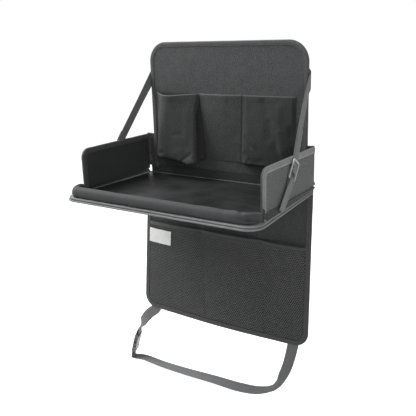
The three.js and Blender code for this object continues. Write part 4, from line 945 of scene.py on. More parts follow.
for spot, wide, deep, slant in ((wall_length - 47, 3.5, -2.6, 12), (wall_length - 60, 6, 0.9, 10),
                                (wall_length - 84, 8, -0.8, 5), (30, 4, -1.0, 6), (46, 6, -0.6, 6),
                                (150, 14, -0.35, 4), (310, 18, -0.4, 4)):
    dents += deep * np.exp(-((s - spot - slant * outward) / wide) ** 2)
# the right end is folded under in front, the left end is drawn up round the corner
under = np.exp(-((to_end - 28) / 26) ** 2 - ((height - 0.35) / 0.34) ** 2)
dents -= 5.5 * under * np.clip(outward * 2, 0, 1)
wall_points[:, 2] -= 4.0 * np.clip(1 - to_end / 34, 0, 1) * height
wall_points[:, 0] += 3.6 * np.clip((-188 - wall_points[:, 0]) / 16, 0, 1)
wall_points[:, 2] += 3.2 * height * np.clip(1 - s / 22, 0, 1)
dents *= np.clip(height * 6, 0, 1)
wall_points += read(front_wall.data.vertices, "normal") * dents[:, None]
write(front_wall.data, wall_points * MM)
carry(front_wall, "tray", "cloth", "front_wall")
u, v = shares(14, 24)
flap_x = 203.4 + 2.4 * (1 - v) + (7.6 + 1.4 * v) * u
flap_y = -225.6 - 3.0 * np.sin(math.pi * u * 0.8) * (0.4 + v) - 3.5 * v * v
flap_z = 22.0 - 3.5 * u * u - 21.2 * v
lay_sheet("front_wall_end_flap", *upright_faces(flap_x, flap_y, flap_z, 0.6),
          in_row, wall_cloth, ("tray", "cloth"), flat=(0.0105, 0.024), held="hung")

# Gussets: strips of lining cloth, one from the tray's rear edge up to the fold on the panel and two
# from the tray's side edges up to the feet of the wings.
u, v = shares(120, 12)
rear_x, rear_z = -196.8 + 380.8 * u, 20 - 19.7 * v
rear_wave = 0.3 * ripple(rear_x, rear_z, 91, 35)
lay_sheet("rear_gusset_cloth", spots_of(rear_x, -8.0 + rear_wave - 0.1, rear_z),
          spots_of(rear_x, -6.8 + rear_wave * 0.5, rear_z), in_row, lining_cloth,
          ("tray", "lining", "rear_gusset"), flat=(0.382, 0.021), held="hung")
for label, side in (("left", -1), ("right", 1)):
    gusset_y = np.linspace(-8.4, -222.0, 90)
    foot = tray_half_at(gusset_y) - 4.2
    knee = np.full_like(foot, 207.4)
    profile = [(knee, 9.4), (knee, 7.4), ((knee * 2 + foot) / 3, 4.6), ((knee + foot * 2) / 3, 2.0),
               (foot, -0.6)]
    inner_side = np.stack([spots_of(side * px, gusset_y, pz) for px, pz in profile], 1)
    inner_side[:, 2:4, 2] += 0.5 * ripple(gusset_y, 0 * gusset_y, 95 + side, 30)[:, None] * 0.6
    outer_side = inner_side + (side * 1.2, 0, 0)
    outer_side[:, 1:4, 2] -= 0.2
    lay_sheet(f"side_gusset_{label}_cloth", inner_side, outer_side, in_row, lining_cloth,
              ("tray", "lining", f"side_gusset_{label}"), flat=(0.013, 0.216), held="hung")

# Wings: thin boards between an inner cover and an outer cover of the panel's cloth, bound with
# grosgrain along top and front. Each stands on the tray's side and folds inward over it. The outer
# cover is painted paler than the panel's cloth, painted light from the right; the inner cover is
# darker, partly a darker cloth and partly painted shade.
wing_offset, wing_rear, wing_front, wing_bottom, wing_top, wing_corner = 204.0, 8.4, 222.0, 8.0, 88.0, 19.0
wing_band, wing_tape, wing_half, wing_core = 11.0, 0.7, 2.1, 1.3
wing_inner = make_finish("wing inner cloth", woven(15, 35, 0.65), sheen=0.04)
wing_outer = make_finish("wing outer cloth", woven(56, 108, 0.75), sheen=0.15)


def edging_build(start):
    """Grosgrain with painted light, pale on the side that is turned outward, and painted shade, dark on the
    inner side
    """
    outer = ((object_place(start).axes()[0].size() - (wing_offset + 0.5) * MM) * 900).clamped()
    pale, roughness, height, depth = ribbed(74, 178, 1.8, 0.0003, slope=0.25)(start)
    dark = ribbed(36, 78, 1.8, 0.0003, slope=0.25)(start)[0]
    return outer.between(dark, pale), roughness, height, depth


pale_thread = make_finish("pale sewing thread", spun(176, 216))
wing_edging = make_finish("wing edging", edging_build, sheen=0.12)


def wing_corners(inset):
    return [(wing_front - inset, wing_bottom, 0), (wing_front - inset, wing_top - inset, wing_corner - inset),
            (wing_rear, wing_top - inset, 0)]


for label, side in (("left", -1), ("right", 1)):
    def in_wing(points, side=side):
        return np.stack([side * wing_offset - points[:, 2], -points[:, 0], points[:, 1]], 1)

    body = f"wing_{label}"
    rim = rounded_line(wing_corners(wing_tape + cloth_gap), pitch=1)
    falling = rim[np.argsort(rim[:, 1])]
    heights = crowded(wing_bottom, wing_top - 1.02, 46, 1.5)
    fronts = np.interp(heights, falling[:, 1], falling[:, 0])
    fronts = np.where(heights > wing_top - 1.05, wing_front - wing_corner, fronts)
    x = wing_rear + (fronts[:, None] - wing_rear) * np.linspace(0, 1, 80)[None, :]
    y = np.repeat(heights[:, None], 80, 1)
    inside = np.clip((np.minimum(wing_front - x, wing_top - y) - 11) / 14, 0, 1) * np.clip((y - 8) / 12, 0, 1)
    for layer, finish, towards in (("inner", wing_inner, -side), ("outer", wing_outer, side)):
        out = wing_half + inside * (0.12 + 0.16 * ripple(x, y, 101 + side * 2 + towards, 60))
        lay_sheet(f"wing_{label}_{layer}_cloth", spots_of(x, y, -towards * out),
                  spots_of(x, y, -towards * wing_core), in_wing, finish,
                  (body, "cloth", f"wing_{label}_{layer}_cover"),
                  flat=(0.213, 0.079), held="stretched", rests_on=f"wing_{label}_board")
    wing_rim = rounded_line(wing_corners(0), pitch=2.5)
    band = make_piece(f"wing_{label}_binding_tape", tube(edge_band(
        wing_rim, tape_section(-wing_half, wing_half, wing_band, wing_tape, 2.2), wobble=0.1, seed=111 + side,
    )), in_wing, wing_edging)
    carry(band, body, "tape", f"wing_{label}_binding")
    line = offset_line(wing_rim, sewn_in - wing_band)[:-2]
    stand = wing_half + cloth_gap + wing_tape * 0.6
    # pale thread on the outside, dark thread inside
    for where, face, thread, high in (("outer", -side, pale_thread, 0.6), ("inner", side, dark_thread, 0.3)):
        sew(f"wing_{label}_{where}_stitches", [(raised(line, stand * face), (0, 0, face))],
            in_wing, body, length=2.9, width=1.5, height=high, thread=thread)

# Support straps: polypropylene webbing sewn behind the panel, led round its edge and down to an
# adjuster outside each wing, with the hemmed tail turned back up.
strap_width, strap_thick = 20.0, 1.2


def webbing_build(start):
    place, along, across = cloth_places(start)
    lean = waves(across, 5.2).size() * 1.6
    ribs, cords = waves(along + lean, 2.2) * 0.5 + 0.5, waves(across, 1.7) * 0.5 + 0.5
    mottle = cloud(start, place, 50, 4)
    fibre = cloud(start, place, 1500, 2)
    shade = (ribs * 0.35 + cords * 0.15 + mottle * 0.35 + fibre * 0.3 - 0.08).clamped()
    colour = shade.between(paint(60), paint(136, 137, 139))
    return colour, mottle * 0.2 + 0.55, ribs + cords * 0.6, 0.0003


webbing_finish = make_finish("strap webbing", webbing_build, sheen=0.2)


def through(stations, pitch=1.1):
    """Points, width directions and face directions of webbing that runs through its stations, each
    a point, a width direction and, where it lies flat round an edge, the direction it is cut in"""
    places = np.array([s[0] for s in stations], float)
    count = len(places)
    first, last = 2 * places[0] - places[1], 2 * places[-1] - places[-2]

    def spot(t):
        p = (count - 1) * t
        i = min(int(p), count - 2)
        w = p - i
        p0 = places[i - 1] if i else first
        p1, p2 = places[i], places[i + 1]
        p3 = places[i + 2] if i + 2 < count else last
        d0, d1, d2 = (max(np.linalg.norm(b - a) ** 0.5, 1e-4) for a, b in ((p0, p1), (p1, p2), (p2, p3)))
        t1 = ((p1 - p0) / d0 - (p2 - p0) / (d0 + d1) + (p2 - p1) / d1) * d1
        t2 = ((p2 - p1) / d1 - (p3 - p1) / (d1 + d2) + (p3 - p2) / d2) * d1
        return p1 + t1 * w + (3 * (p2 - p1) - 2 * t1 - t2) * w ** 2 + (2 * (p1 - p2) + t1 + t2) * w ** 3

    fine = np.linspace(0, 1, (count - 1) * 24 + 1)
    dense = np.array([spot(t) for t in fine])
    length = run_length(dense)
    rings = max(8, int(length[-1] / pitch))
    result = []
    for share in np.linspace(0, length[-1], rings + 1):
        t = float(np.interp(share, length, fine))
        along = unit(spot(min(t + 1e-4, 1)) - spot(max(t - 1e-4, 0)))
        i = min(int((count - 1) * t), count - 2)
        w = (count - 1) * t - i
        across = np.array(stations[i][1]) * (1 - w) + np.array(stations[i + 1][1]) * w
        across = unit(across - along * (across @ along))
        face = np.cross(along, across)
        held = [stations[k][2] if len(stations[k]) > 2 else None for k in (i, i + 1)]
        if held[0] is not None or held[1] is not None:
            keep = (1 - w) * (held[0] is not None) + w * (held[1] is not None)
            steady = held[0] if held[0] is not None else held[1]
            across = across * (1 - keep) + np.array(steady) * keep
            face = unit(np.cross(along, across))
        result.append((spot(t), across, face))
    return result


def webbing(stations, width, thickness, gathered=None):
    """A closed skin of webbing with rounded, slightly serrated edges, drawn in round a place"""
    half, thick = width / 2, thickness / 2
    section = [(-1, -0.3), (-0.975, -0.8), (-0.9, -1), (-0.45, -1), (0, -0.92), (0.45, -1), (0.9, -1),
               (0.975, -0.8), (1, -0.3), (1, 0.3), (0.975, 0.8), (0.9, 1), (0.45, 1), (0, 0.92), (-0.45, 1),
               (-0.9, 1), (-0.975, 0.8), (-1, 0.3)]
    rows = []
    for k, (centre, across, face) in enumerate(through(stations)):
        serration = 0.0 if k % 2 else 0.012
        drawn = 1.0
        if gathered is not None:
            drawn -= 0.24 * math.exp(-(np.linalg.norm(centre - gathered) / 22) ** 4)
        rows.append([centre + across * half * drawn * a * (1 - serration * (abs(a) > 0.95)) + face * thick * b
                     for a, b in section])
    return np.array(rows)


adjuster_along = unit([0, 0.7, 1.0])
adjuster_offset, adjuster_place = 211.8, (-113.5, 63.8)
adjuster_half, adjuster_thick, middle_bar, end_bar = 19.5, 2.6, 3.2, 4.0
strap_corner, tray_sewn = 214.5, -0.5
strap_end = np.array([-101.4, 81.4])
for label, side, slack, tail_length in (("left", -1, 0, 24), ("right", 1, 2.5, 62)):
    centre = np.array([side * adjuster_offset, *adjuster_place])
    outward = np.array([side, 0, 0.0])
    across = np.cross(adjuster_along, outward)
    on_adjuster = lambda along, out: centre + adjuster_along * along + outward * out
    run = adjuster_thick / 2 + cloth_gap + strap_thick / 2
    turn = -middle_bar / 2 - cloth_gap - strap_thick / 2
    stand = tape_thickness + 2 * cloth_gap + strap_thick / 2
    corner_stand = stand * 0.8
    edge = upper_half + strap_thick / 2 + 2 * cloth_gap
    slope = np.array([strap_end[0], strap_end[1] - strap_corner])
    reach = np.linalg.norm(slope)
    slope /= reach
    on_side_width = np.array([0, slope[1], -slope[0]])
    on_back_width = np.array([-side * slope[1], 0, -slope[0]])
    corner_width = unit(on_back_width + on_side_width + (0, 0, 3))
    under_layer = run + strap_thick + cloth_gap
    inner = side * (adjuster_offset - under_layer)
    on_back = lambda length: np.array(
        [side * (edge + slope[0] * length), stand, strap_corner - slope[1] * length])

    def along_side(share, bow):
        return np.array([side * edge + (inner - side * edge) * share,
                         strap_end[0] * share + slope[1] * slack * bow,
                         strap_corner + (strap_end[1] - strap_corner) * share - slope[0] * slack * bow])

    tail_aim = unit(along_side(0.62, 1) - along_side(1, 0))
    tail = lambda share: on_adjuster(adjuster_half + run, -run) + tail_aim * tail_length * share
    at_width = across * np.sign(across @ on_side_width)
    corner = np.array([side * (edge + corner_stand / 2), corner_stand, strap_corner])
    cut = np.array([0, 0, -1 / slope[0]])
    # from behind the panel round its edge and down, in behind the adjuster's top bar, round its
    # middle bar and out again as the tail
    stations = [
        (on_back(50), on_back_width, cut), (on_back(31.75), on_back_width, cut),
        (on_back(13.5), on_back_width, cut), (corner, corner_width, cut),
        (along_side(13.5 / reach, 0), on_side_width, cut), (along_side(0.35, 0.75), on_side_width),
        (along_side(0.6, 1), on_side_width), (along_side(0.82, 0.8), at_width),
        *((on_adjuster(along, out), at_width) for along, out in (
            (adjuster_half, -under_layer), (adjuster_half * 0.5, -under_layer), (0, -run),
            (turn - run * 0.4, -run * 0.75), (turn - run * 0.9, 0), (turn - run * 0.4, run * 0.75),
            (middle_bar * 0.4, run), (adjuster_half * 0.45, -run * 0.2), (adjuster_half, -run))),
        (tail(0.3), at_width), (tail(1), on_side_width)]
    rows = webbing(stations, strap_width, strap_thick, centre)
    strap = make_piece(f"support_strap_{label}_webbing", tube(rows), in_row, webbing_finish)
    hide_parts(f"support_strap_{label}")
    top, foot = along_side(0.03, 0), on_adjuster(adjuster_half * 0.6, -under_layer)
    tuple(top * MM)
    tuple(foot * MM)
    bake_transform(strap)

    # Tray straps: short webbing looped through each adjuster's lower bar and sewn to the tray's edge
    bar_centre = -adjuster_half + end_bar / 2
    bar_half = end_bar / 2
    loop = bar_half + 2 * cloth_gap + strap_thick / 2
    bar_corner = bar_half + cloth_gap + strap_thick / 4
    sewn, layer = strap_width * 0.8, (cloth_gap + strap_thick) / 2
    end = np.array([side * (tray_half_at(-168) - 1.6), -168, -2.0])
    foot = on_adjuster(bar_centre - sewn, layer)
    tray_width = unit([0, end[2] - foot[2], foot[1] - end[1]])
    foot_width = across * np.sign(across @ tray_width)
    end = foot + (end - foot) * (foot[2] - tray_sewn) / (foot[2] - end[2])
    rows = webbing([
        *((on_adjuster(bar_centre + along, out), foot_width) for along, out in (
            (-sewn, -layer), (-bar_half - strap_thick, -run), (bar_half / 2, -run), (bar_corner, -run * 0.86),
            (loop, 0), (bar_corner, run * 0.86), (bar_half / 2, run), (-bar_half - strap_thick, run))),
        (foot, foot_width), (foot + (end - foot) * 0.35, tray_width), (end, tray_width),
    ], strap_width, strap_thick, centre)
    rows[:, :, 2] = np.maximum(rows[:, :, 2], tray_sewn - 0.05)
    strap = make_piece(f"tray_strap_{label}_webbing", tube(rows), in_row, webbing_finish)
    carry(strap, "tray", "webbing", f"tray_strap_{label}")

# Adjusters and side-release buckles: acetal, injection moulded, with a fine spark-eroded grain and
# edges rubbed a little glossy. The adjusters are polished and mirror the white room, and their pale
# grey is painted reflection; the buckles are matt and black.


def moulded(level_dark, level_light):
    """Moulded plastic with a fine grain and paler, smoother edges"""
    def build(start):
        place = object_place(start)
        grain = cloud(start, place, 2600, 2)
        mottle = cloud(start, place, 90, 3)
        edge = start.node("ShaderNodeNewGeometry", output=7)
        rubbed = ((edge - 0.5) * 6).clamped()
        dark, light = (paint(level, level + 1, level + 3) for level in (level_dark, level_light))
        colour = (mottle * 0.5 + rubbed * 0.5).clamped().between(dark, light)
        return colour, mottle * 0.18 + 0.26 - rubbed * 0.08, grain * 0.6 + mottle * 0.4, 0.00006
    return build


moulded_plastic = make_finish("moulded acetal", moulded(66, 104), specular=0.6)
# the adjusters' pale grey is painted reflection of the white room, on top of their gloss
reflection_painted_plastic = make_finish("polished acetal", moulded(140, 212), specular=0.8)
for node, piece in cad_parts.items():
    for kind, finish in (("strap_adjuster", reflection_painted_plastic), ("headrest_buckle", moulded_plastic),
                         ("bottom_buckle", moulded_plastic)):
        if node.startswith(kind):
            for place in piece.material_slots:
                place.material = finish

# Lower panel: cover cloth and lining, soft and without a board, hung from the fold seam and bound
# with tape round sides and bottom, with a narrow piping along the tape's inner edge.
lower_half, lower_length, lower_bow, lower_corner = 210.0, 318.0, 6.0, 32.0
lower_stack, lower_head, left_ear, right_ear = 1.35, -3.0, -1.5, 17.5
lean = math.radians(90 - 6.8)


def in_lower(points):
    c, s = math.cos(lean), math.sin(lean)
    return np.stack([points[:, 0], points[:, 1] * c - points[:, 2] * s - 2.7,
                     points[:, 1] * s + points[:, 2] * c - 13.0], 1)


def in_hung(points):
    """The lower panel's cloth hangs a little to the left and is drawn in at its top right"""
    swung = np.array(points, float)
    left, right = -213.2, 202.6 - 0.037 * np.clip(points[:, 1], -330, 20)
    swung[:, 0] = left + (points[:, 0] + lower_half) / (2 * lower_half) * (right - left)
    return in_lower(swung)


def lower_corners(inset):
    half, bottom, radius = lower_half - inset, -lower_length + inset, lower_corner - inset
    return [(-half, left_ear, 0), (-half, bottom, radius), (0, bottom - lower_bow, 2600),
            (half, bottom, radius), (half, right_ear, 0)]


def lower_foot(inset):
    """The bottom edge as heights over x"""
    line = rounded_line(lower_corners(inset), pitch=1.5)
    line = line[1:-1]
    low = line[line[:, 1] < -lower_length + lower_corner + 2]
    return lambda x: np.interp(x, low[:, 0], low[:, 1])


def spread(half, columns):
    share = np.linspace(-1, 1, columns)
    return half * np.sign(share) * (1 - (1 - np.abs(share)) ** 1.25)


foot = lower_foot(cover_inset)
seam_tops, seam_drift, net_drop = (-53.0, 97.0), 14.0, 205.0


def hung_build(start):
    """The panel's cloth, a darker tone of the cover cloth as painted shade, with painted shade behind the
    net, deepest beside the net's two seams
    """
    # a darker tone of the cover cloth, as painted shade
    colour, roughness, height, depth = woven(28, 60, 0.75)(start)
    across, _, down = object_place(start).axes()
    # painted shade on the cloth behind the net
    behind = ((-0.121 - down) * 500).clamped()
    # painted shade, deeper beside each seam of the net
    seam_shade = 0
    for top in seam_tops:
        at_seam = down * (seam_drift / -net_drop) + (top - seam_drift * 0.6) * MM
        seam_shade = (1 - ((across - at_seam) + 0.006).size() * 90).clamped() + seam_shade
    return (behind * (seam_shade * 0.14 + 0.8)).between(colour, paint(14)), roughness, height, depth


hung_cloth = make_finish("hung cloth", hung_build, sheen=0.08)
x = np.repeat(spread(lower_half - cover_inset, 120)[None, :], 90, 0)
share = np.repeat(np.linspace(0, 1, 90)[:, None], 120, 1)
ear = np.where(x > 0, right_ear, left_ear) - 0.5 - lower_head
head = lower_head + ear * np.clip((np.abs(x) - 191.5) / 2.5, 0, 1)
y = head + (foot(x) - head) * share
inside = np.clip((np.minimum(lower_half - np.abs(x), y - foot(x)) - 11) / 30, 0, 1)
hang = inside * (0.5 * ripple(x, y * 0.5, 121, 90) + 0.35 * ripple(x, y, 122, 40))
hang *= np.clip((y + 100) / 20, 0, 1)
behind = -lower_stack - inside * (0.3 + 0.5 * ripple(x, y, 124, 70))
for label, slot, front, back, finish in (("front_cloth", "cloth", lower_stack + hang, 0.1, hung_cloth),
                                         ("back_lining", "lining", -0.1, behind, lining_cloth)):
    lay_sheet(f"lower_{label}_sheet", spots_of(x, y, front), spots_of(x, y, back),
              in_hung, finish, ("lower_panel", slot, f"lower_{label}"),
              flat=(0.418, 0.32), held="hung", rests_on="fold_seam_roll")
lower_rim = rounded_line(lower_corners(0), pitch=3)
hung_tape = make_finish("hung binding tape", ribbed(28, 74, 1.5), sheen=0.12)
lower_tape = make_piece("lower_binding_tape", tube(edge_band(
    lower_rim, tape_section(-lower_stack, lower_stack, tape_band, tape_thickness, 1.9), wobble=0.2, seed=131,
)), in_hung, hung_tape)
carry(lower_tape, "lower_panel", "tape", "lower_binding")
stand = lower_stack + cloth_gap + tape_thickness * 0.6
sew("lower_binding_stitches", both_faces(offset_line(lower_rim, sewn_in - tape_band), stand, -stand),
    in_hung, "lower_panel")
piping_round, piping_height = 0.75, 2.35
turn = np.linspace(0, 2 * math.pi, 8, endpoint=False)
section = np.stack([-tape_band - 0.3 + piping_round * np.cos(turn),
                    piping_height + piping_round * np.sin(turn)], 1)
inner_piping = make_piece("lower_inner_piping", tube(edge_band(lower_rim, section)), in_hung, hung_tape)
carry(inner_piping, "lower_panel", "tape")

# Fold seam: the roll of tape that joins the two panels, flattened a little where it is sewn.
u = np.linspace(-1, 1, 120) * 186
bend = 0.15 * ripple(u, 0 * u, 141, 24)
fold_roll = make_piece("fold_seam_roll", tube(round_rows(
    u, 0, 0, 2.55 + bend, 2.55 - bend, 16)), in_lower, binding_tape)
carry(fold_roll, "lower_panel", "tape", "fold_seam")

# Net pocket: warp-knitted hexagon net in one piece, sewn in under the binding at the sides and the
# foot and through the panel along two upright seams. Its mouth has a bound hem.
mesh_half, mesh_top, mesh_gape, mesh_hem = 199.7, -105.5, 9.5, 10.0
net_foot = lower_foot(10.3)


def gape_at(x, v):
    edges = [-mesh_half + 0 * v, *(top + seam_drift * v for top in seam_tops), mesh_half + 0 * v]
    out = np.zeros_like(x)
    for left, right in zip(edges[:-1], edges[1:]):
        share = np.clip((x - left) / (right - left), 0, 1)
        out += np.where((x > left) & (x <= right), np.sin(math.pi * share) ** 0.7, 0)
    return mesh_gape * out * (1 - v ** 1.6)


def net_surface(x, v, stand, under=0.0):
    """A point of the net's middle: it dips under the binding at its edges"""
    low = net_foot(x)
    y = mesh_top + (low - mesh_top) * v
    edge = np.minimum(mesh_half - np.abs(x), (1 - v) * (mesh_top - low))
    dip = under * np.clip(1 - edge / 5, 0, 1)
    return np.stack([x, y, 1.65 + gape_at(x, v) + stand - dip], -1)


def net_build(start):
    place = object_place(start)
    mottle = cloud(start, place, 80)
    fibre = cloud(start, place, 2500, 2)
    colour = (mottle * 0.6 + fibre * 0.5 - 0.05).clamped().between(paint(76), paint(126, 127, 128))
    return colour, mottle * 0.2 + 0.5, fibre, 0.00006


net_thread = make_finish("net thread", net_build, sheen=0.1)


def net_nodes(start, given):
    """A net of hexagons, a cell apart, dropped onto the surface and cut off beside it"""
    cell, columns, rows = given["Cell"], given["Columns"], given["Rows"]
    lattice = start.node("GeometryNodeMeshGrid", {}, {
        "Vertices X": columns, "Vertices Y": rows, "Size X": cell * (columns - 1.0),
        "Size Y": cell * (math.sqrt(3) / 2) * (rows - 1.0)})
    row = start.maths("FLOORED_MODULO", start.node("GeometryNodeInputIndex"), rows)
    odd = start.maths("FLOORED_MODULO", row, 2.0)
    shift = start.node("ShaderNodeCombineXYZ", {}, {"X": odd * (cell * 0.5)})
    offset = start.node("ShaderNodeVectorMath", {"operation": "ADD"}, {0: shift, 1: given["Middle"]})
    spots = start.node("GeometryNodeSetPosition", {}, {"Geometry": lattice, "Offset": offset})
    arm, arms = start.maths("DIVIDE", cell, math.sqrt(3)), []
    for angle in (math.radians(degrees) for degrees in (90, 210, 330)):
        tip = start.node("ShaderNodeCombineXYZ", {}, {"X": arm * math.cos(angle), "Y": arm * math.sin(angle)})
        arms.append(start.node("GeometryNodeCurvePrimitiveLine", {}, {"End": tip}))
    threads = start.node("GeometryNodeCurveToMesh", {}, {
        "Curve": start.node("GeometryNodeJoinGeometry", {}, {"Geometry": arms}),
        "Profile Curve": start.node("GeometryNodeCurvePrimitiveCircle", {}, {
            "Resolution": 4, "Radius": given["Thread radius"]})})
    laid = start.node("GeometryNodeInstanceOnPoints", {}, {"Points": spots, "Instance": threads})
    flat = start.node("GeometryNodeRealizeInstances", {}, {"Geometry": laid})
    x, y, z = start.node("GeometryNodeInputPosition").axes()
    ray = start.node("GeometryNodeRaycast", {}, {
        "Target Geometry": given["Surface"], "Ray Direction": (0, 0, -1), "Ray Length": 1.0,
        "Source Position": start.node("ShaderNodeCombineXYZ", {}, {"X": x, "Y": y, "Z": 0.1}),
    }, "Hit Position")
    placed = start.node("ShaderNodeCombineXYZ", {}, {"X": x, "Y": y, "Z": ray.axes()[2] + z})
    missed = start.node("FunctionNodeBooleanMath", {"operation": "NOT"}, {0: ray.other("Is Hit")})
    trimmed = start.node("GeometryNodeDeleteGeometry", {"domain": "POINT"}, {
        "Geometry": flat, "Selection": missed})
    return start.node("GeometryNodeSetPosition", {}, {"Geometry": trimmed, "Position": placed})


net_cell, net_thick, net_middle = 4.4, 1.0, -206.5
hexagon_net = node_group("hexagon net", (
    ("Surface", "Geometry", None), ("Cell", "Float", 0.0043), ("Columns", "Int", 94),
    ("Rows", "Int", 58), ("Middle", "Vector", (0, 0, 0)), ("Thread radius", "Float", 0.0004),
    ("Thread", "Material", None)), net_nodes)
net_x = np.repeat(np.linspace(-mesh_half, mesh_half, 180)[None, :], 70, 0)
net_v = np.repeat(np.linspace(0, 1, 70)[:, None], 180, 1)
sheet_points = net_surface(net_x, net_v, 0.55, under=1.3)
sheet_points[..., 2] += 0.5 * ripple(net_x, net_v * 200, 151, 50) * np.clip(gape_at(net_x, net_v) / 3, 0, 1)
points, faces, _ = skin(sheet_points)
net = grown(add_mesh("net_pocket", (points * MM).tolist(), [], faces), hexagon_net, {
    "Cell": net_cell * MM, "Columns": 92, "Rows": 56, "Middle": (0, net_middle * MM, 0),
    "Thread radius": net_thick / 2 * MM, "Thread": net_thread})
write(net.data, in_hung(read(net.data.vertices, "co").astype(float) / MM) * MM)
carry(net, "lower_panel", "mesh", "mesh_pocket")
hem_x = np.repeat(np.linspace(-mesh_half, mesh_half, 180)[None, :], 14, 0)
hem_share = mesh_hem / (mesh_top + lower_length - 10.3)
hem_v = np.repeat((np.linspace(0, 1, 14) * hem_share)[:, None], 180, 1)
round_over = 0.55 * np.sqrt(np.clip(1 - (np.linspace(-1, 1, 14)) ** 6, 0, 1))[:, None]
hem_middle = net_surface(hem_x, hem_v, 1.2, under=0.8)
hem_front, hem_back = hem_middle.copy(), hem_middle.copy()
hem_front[..., 2] += round_over + 0.12 * ripple(hem_x, hem_v * 200, 155, 14)
hem_back[..., 2] -= round_over * 0.9
net_hem = make_piece("net_pocket_hem", slab(hem_front, hem_back), in_hung, hung_tape)
carry(net_hem, "lower_panel", "tape", "mesh_hem")
v = np.linspace(0, 1, 60)
seams = [(net_surface(top + seam_drift * v, v, 1.0), (0, 0, 1)) for top in seam_tops]
seams.append((hem_front[11] + (0, 0, 0.05), (0, 0, 1)))
sew("net_pocket_stitches", seams, in_hung, "lower_panel",
    length=3.1, width=2.2, height=0.8, thread=dark_thread)

# Cloth tag: a small blank tag of white woven ribbon, its side edges cut with a hot knife, caught in
# the pocket's left seam and lying over the net.


def tag_build(start):
    place, along, across = cloth_places(start)
    weave = waves(along, 0.5) * waves(across, 0.5)
    mottle = cloud(start, place, 120, 3)
    colour = mottle.between(paint(212, 213, 212), paint(242, 242, 240))
    return colour, mottle * 0.1 + 0.75, weave * 0.4 + mottle, 0.0001


tag_cloth = make_finish("white ribbon", tag_build)
u, v = shares(60, 34)
ragged = 0.7 * ripple(v * 33, 0 * v, 161, 5) * np.clip((u - 0.9) * 10, 0, 1)
tag_x = -199.4 + 68 * u + ragged
tag_y = -122 - 33 * v + 0.5 * ripple(tag_x, 0 * tag_x, 162, 20) * (v - 0.5)
tag_middle = net_surface(tag_x, (mesh_top - tag_y) / (mesh_top - net_foot(tag_x)), 1.55)
tag_lift = 0.25 * (1 + ripple(tag_x, tag_y, 163, 18)) * np.sin(math.pi * u) + 1.2 * u ** 6 * v
tag_front, tag_back = (tag_middle + spots_of(0, 0, tag_lift + half) for half in (0.16, -0.16))
lay_sheet("blank_cloth_tag_ribbon", tag_front, tag_back, in_hung, tag_cloth,
          ("lower_panel", "tag", "blank_cloth_tag"), flat=(0.068, 0.033), held="laid", rests_on="net_pocket")

# Headrest strap and bottom strap: wider webbing of the same make, each in two parts that are
# looped round the buckle's bars and sewn back on themselves.
wide_strap, wide_thick = 25.0, 1.4
buckle_bar, buckle_bar_thick, buckle_length = 2.6, 4.0, 50.6


def bar_loop(at, across, bar_end, inward):
    bar_half = buckle_bar_thick / 2
    clear = cloth_gap + wide_thick / 2
    over = bar_half + clear
    corner_clear = clear * 0.78
    sewn_end = bar_end - inward * wide_strap * 0.6
    layer = (wide_thick + cloth_gap) / 2
    half = [(sewn_end, layer), (bar_end - inward * clear, over),
            (bar_end + inward * buckle_bar * 0.8, over + cloth_gap / 3),
            (bar_end + inward * (buckle_bar + corner_clear), bar_half + corner_clear),
            (bar_end + inward * (buckle_bar + clear + cloth_gap / 3), bar_half * 0.6)]
    first = [(at(along, -out), across) for along, out in half]
    second = [(at(along, out), across) for along, out in half]
    return first + second[::-1]


headrest_height, headrest_back, headrest_slack = 262.0, 1.8, 13.0
head_anchor = 0.68 * upper_half
head_origin = np.array([-buckle_length / 2, headrest_back + headrest_slack, headrest_height])
head_at = lambda along, out: head_origin + np.array([along, 0, 0]) + np.array([0, out, 0])
head_across = np.array([0, 0, 1.0])
for label, side, bar_end in (("left", -1, 0.0), ("right", 1, buckle_length)):
    place = lambda x, y: np.array([side * x, y, headrest_height])
    rows = webbing([
        *bar_loop(head_at, head_across, bar_end, -side),
        (place(head_anchor * 0.6, headrest_back + headrest_slack * 0.7), head_across),
        (place(head_anchor * 0.86, headrest_back + headrest_slack * 0.16), head_across),
        *((place(reach, headrest_back), head_across) for reach in (head_anchor, head_anchor + 26)),
    ], wide_strap, wide_thick)
    strap = make_piece(f"headrest_strap_{label}_webbing", tube(rows), in_row, webbing_finish)
    if label == "left":
        carry(strap, "back_panel", "webbing", "headrest_strap_left")
    else:
        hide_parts("headrest_strap_right")
        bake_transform(strap)

loop_drop, loop_reach, loop_back = 137.0, 231.0, 6.0
loop_point = lambda share: in_lower(np.array([[
    loop_reach * share[0], -lower_length - loop_drop * share[1], -share[2] * loop_back]]))[0]
bottom_origin = loop_point((-1.047, 0.612, 1.5))
bottom_along = unit(loop_point((-1.1, 1.0, 1.5)) - bottom_origin)
bottom_across = np.array([0.34, -0.94, 0])
bottom_across = unit(bottom_across - bottom_along * (bottom_across @ bottom_along))
bottom_face = np.cross(bottom_across, bottom_along)
bottom_at = lambda along, out: bottom_origin + bottom_along * along + bottom_face * out
sewn_back = (tape_thickness + 2 * cloth_gap + wide_thick + lower_stack) / loop_back
short_route = [((-0.985, 0.36, 1.45), (0.98, -0.15, 0.15)), ((-0.9, 0.185, 1.3), (1, 0.1, 0.1)),
               ((-0.8, 0.04, sewn_back), (1, 0, 0)), ((-0.765, -0.08, sewn_back), (1, 0, 0)),
               ((-0.745, -0.24, sewn_back), (1, 0, 0))]
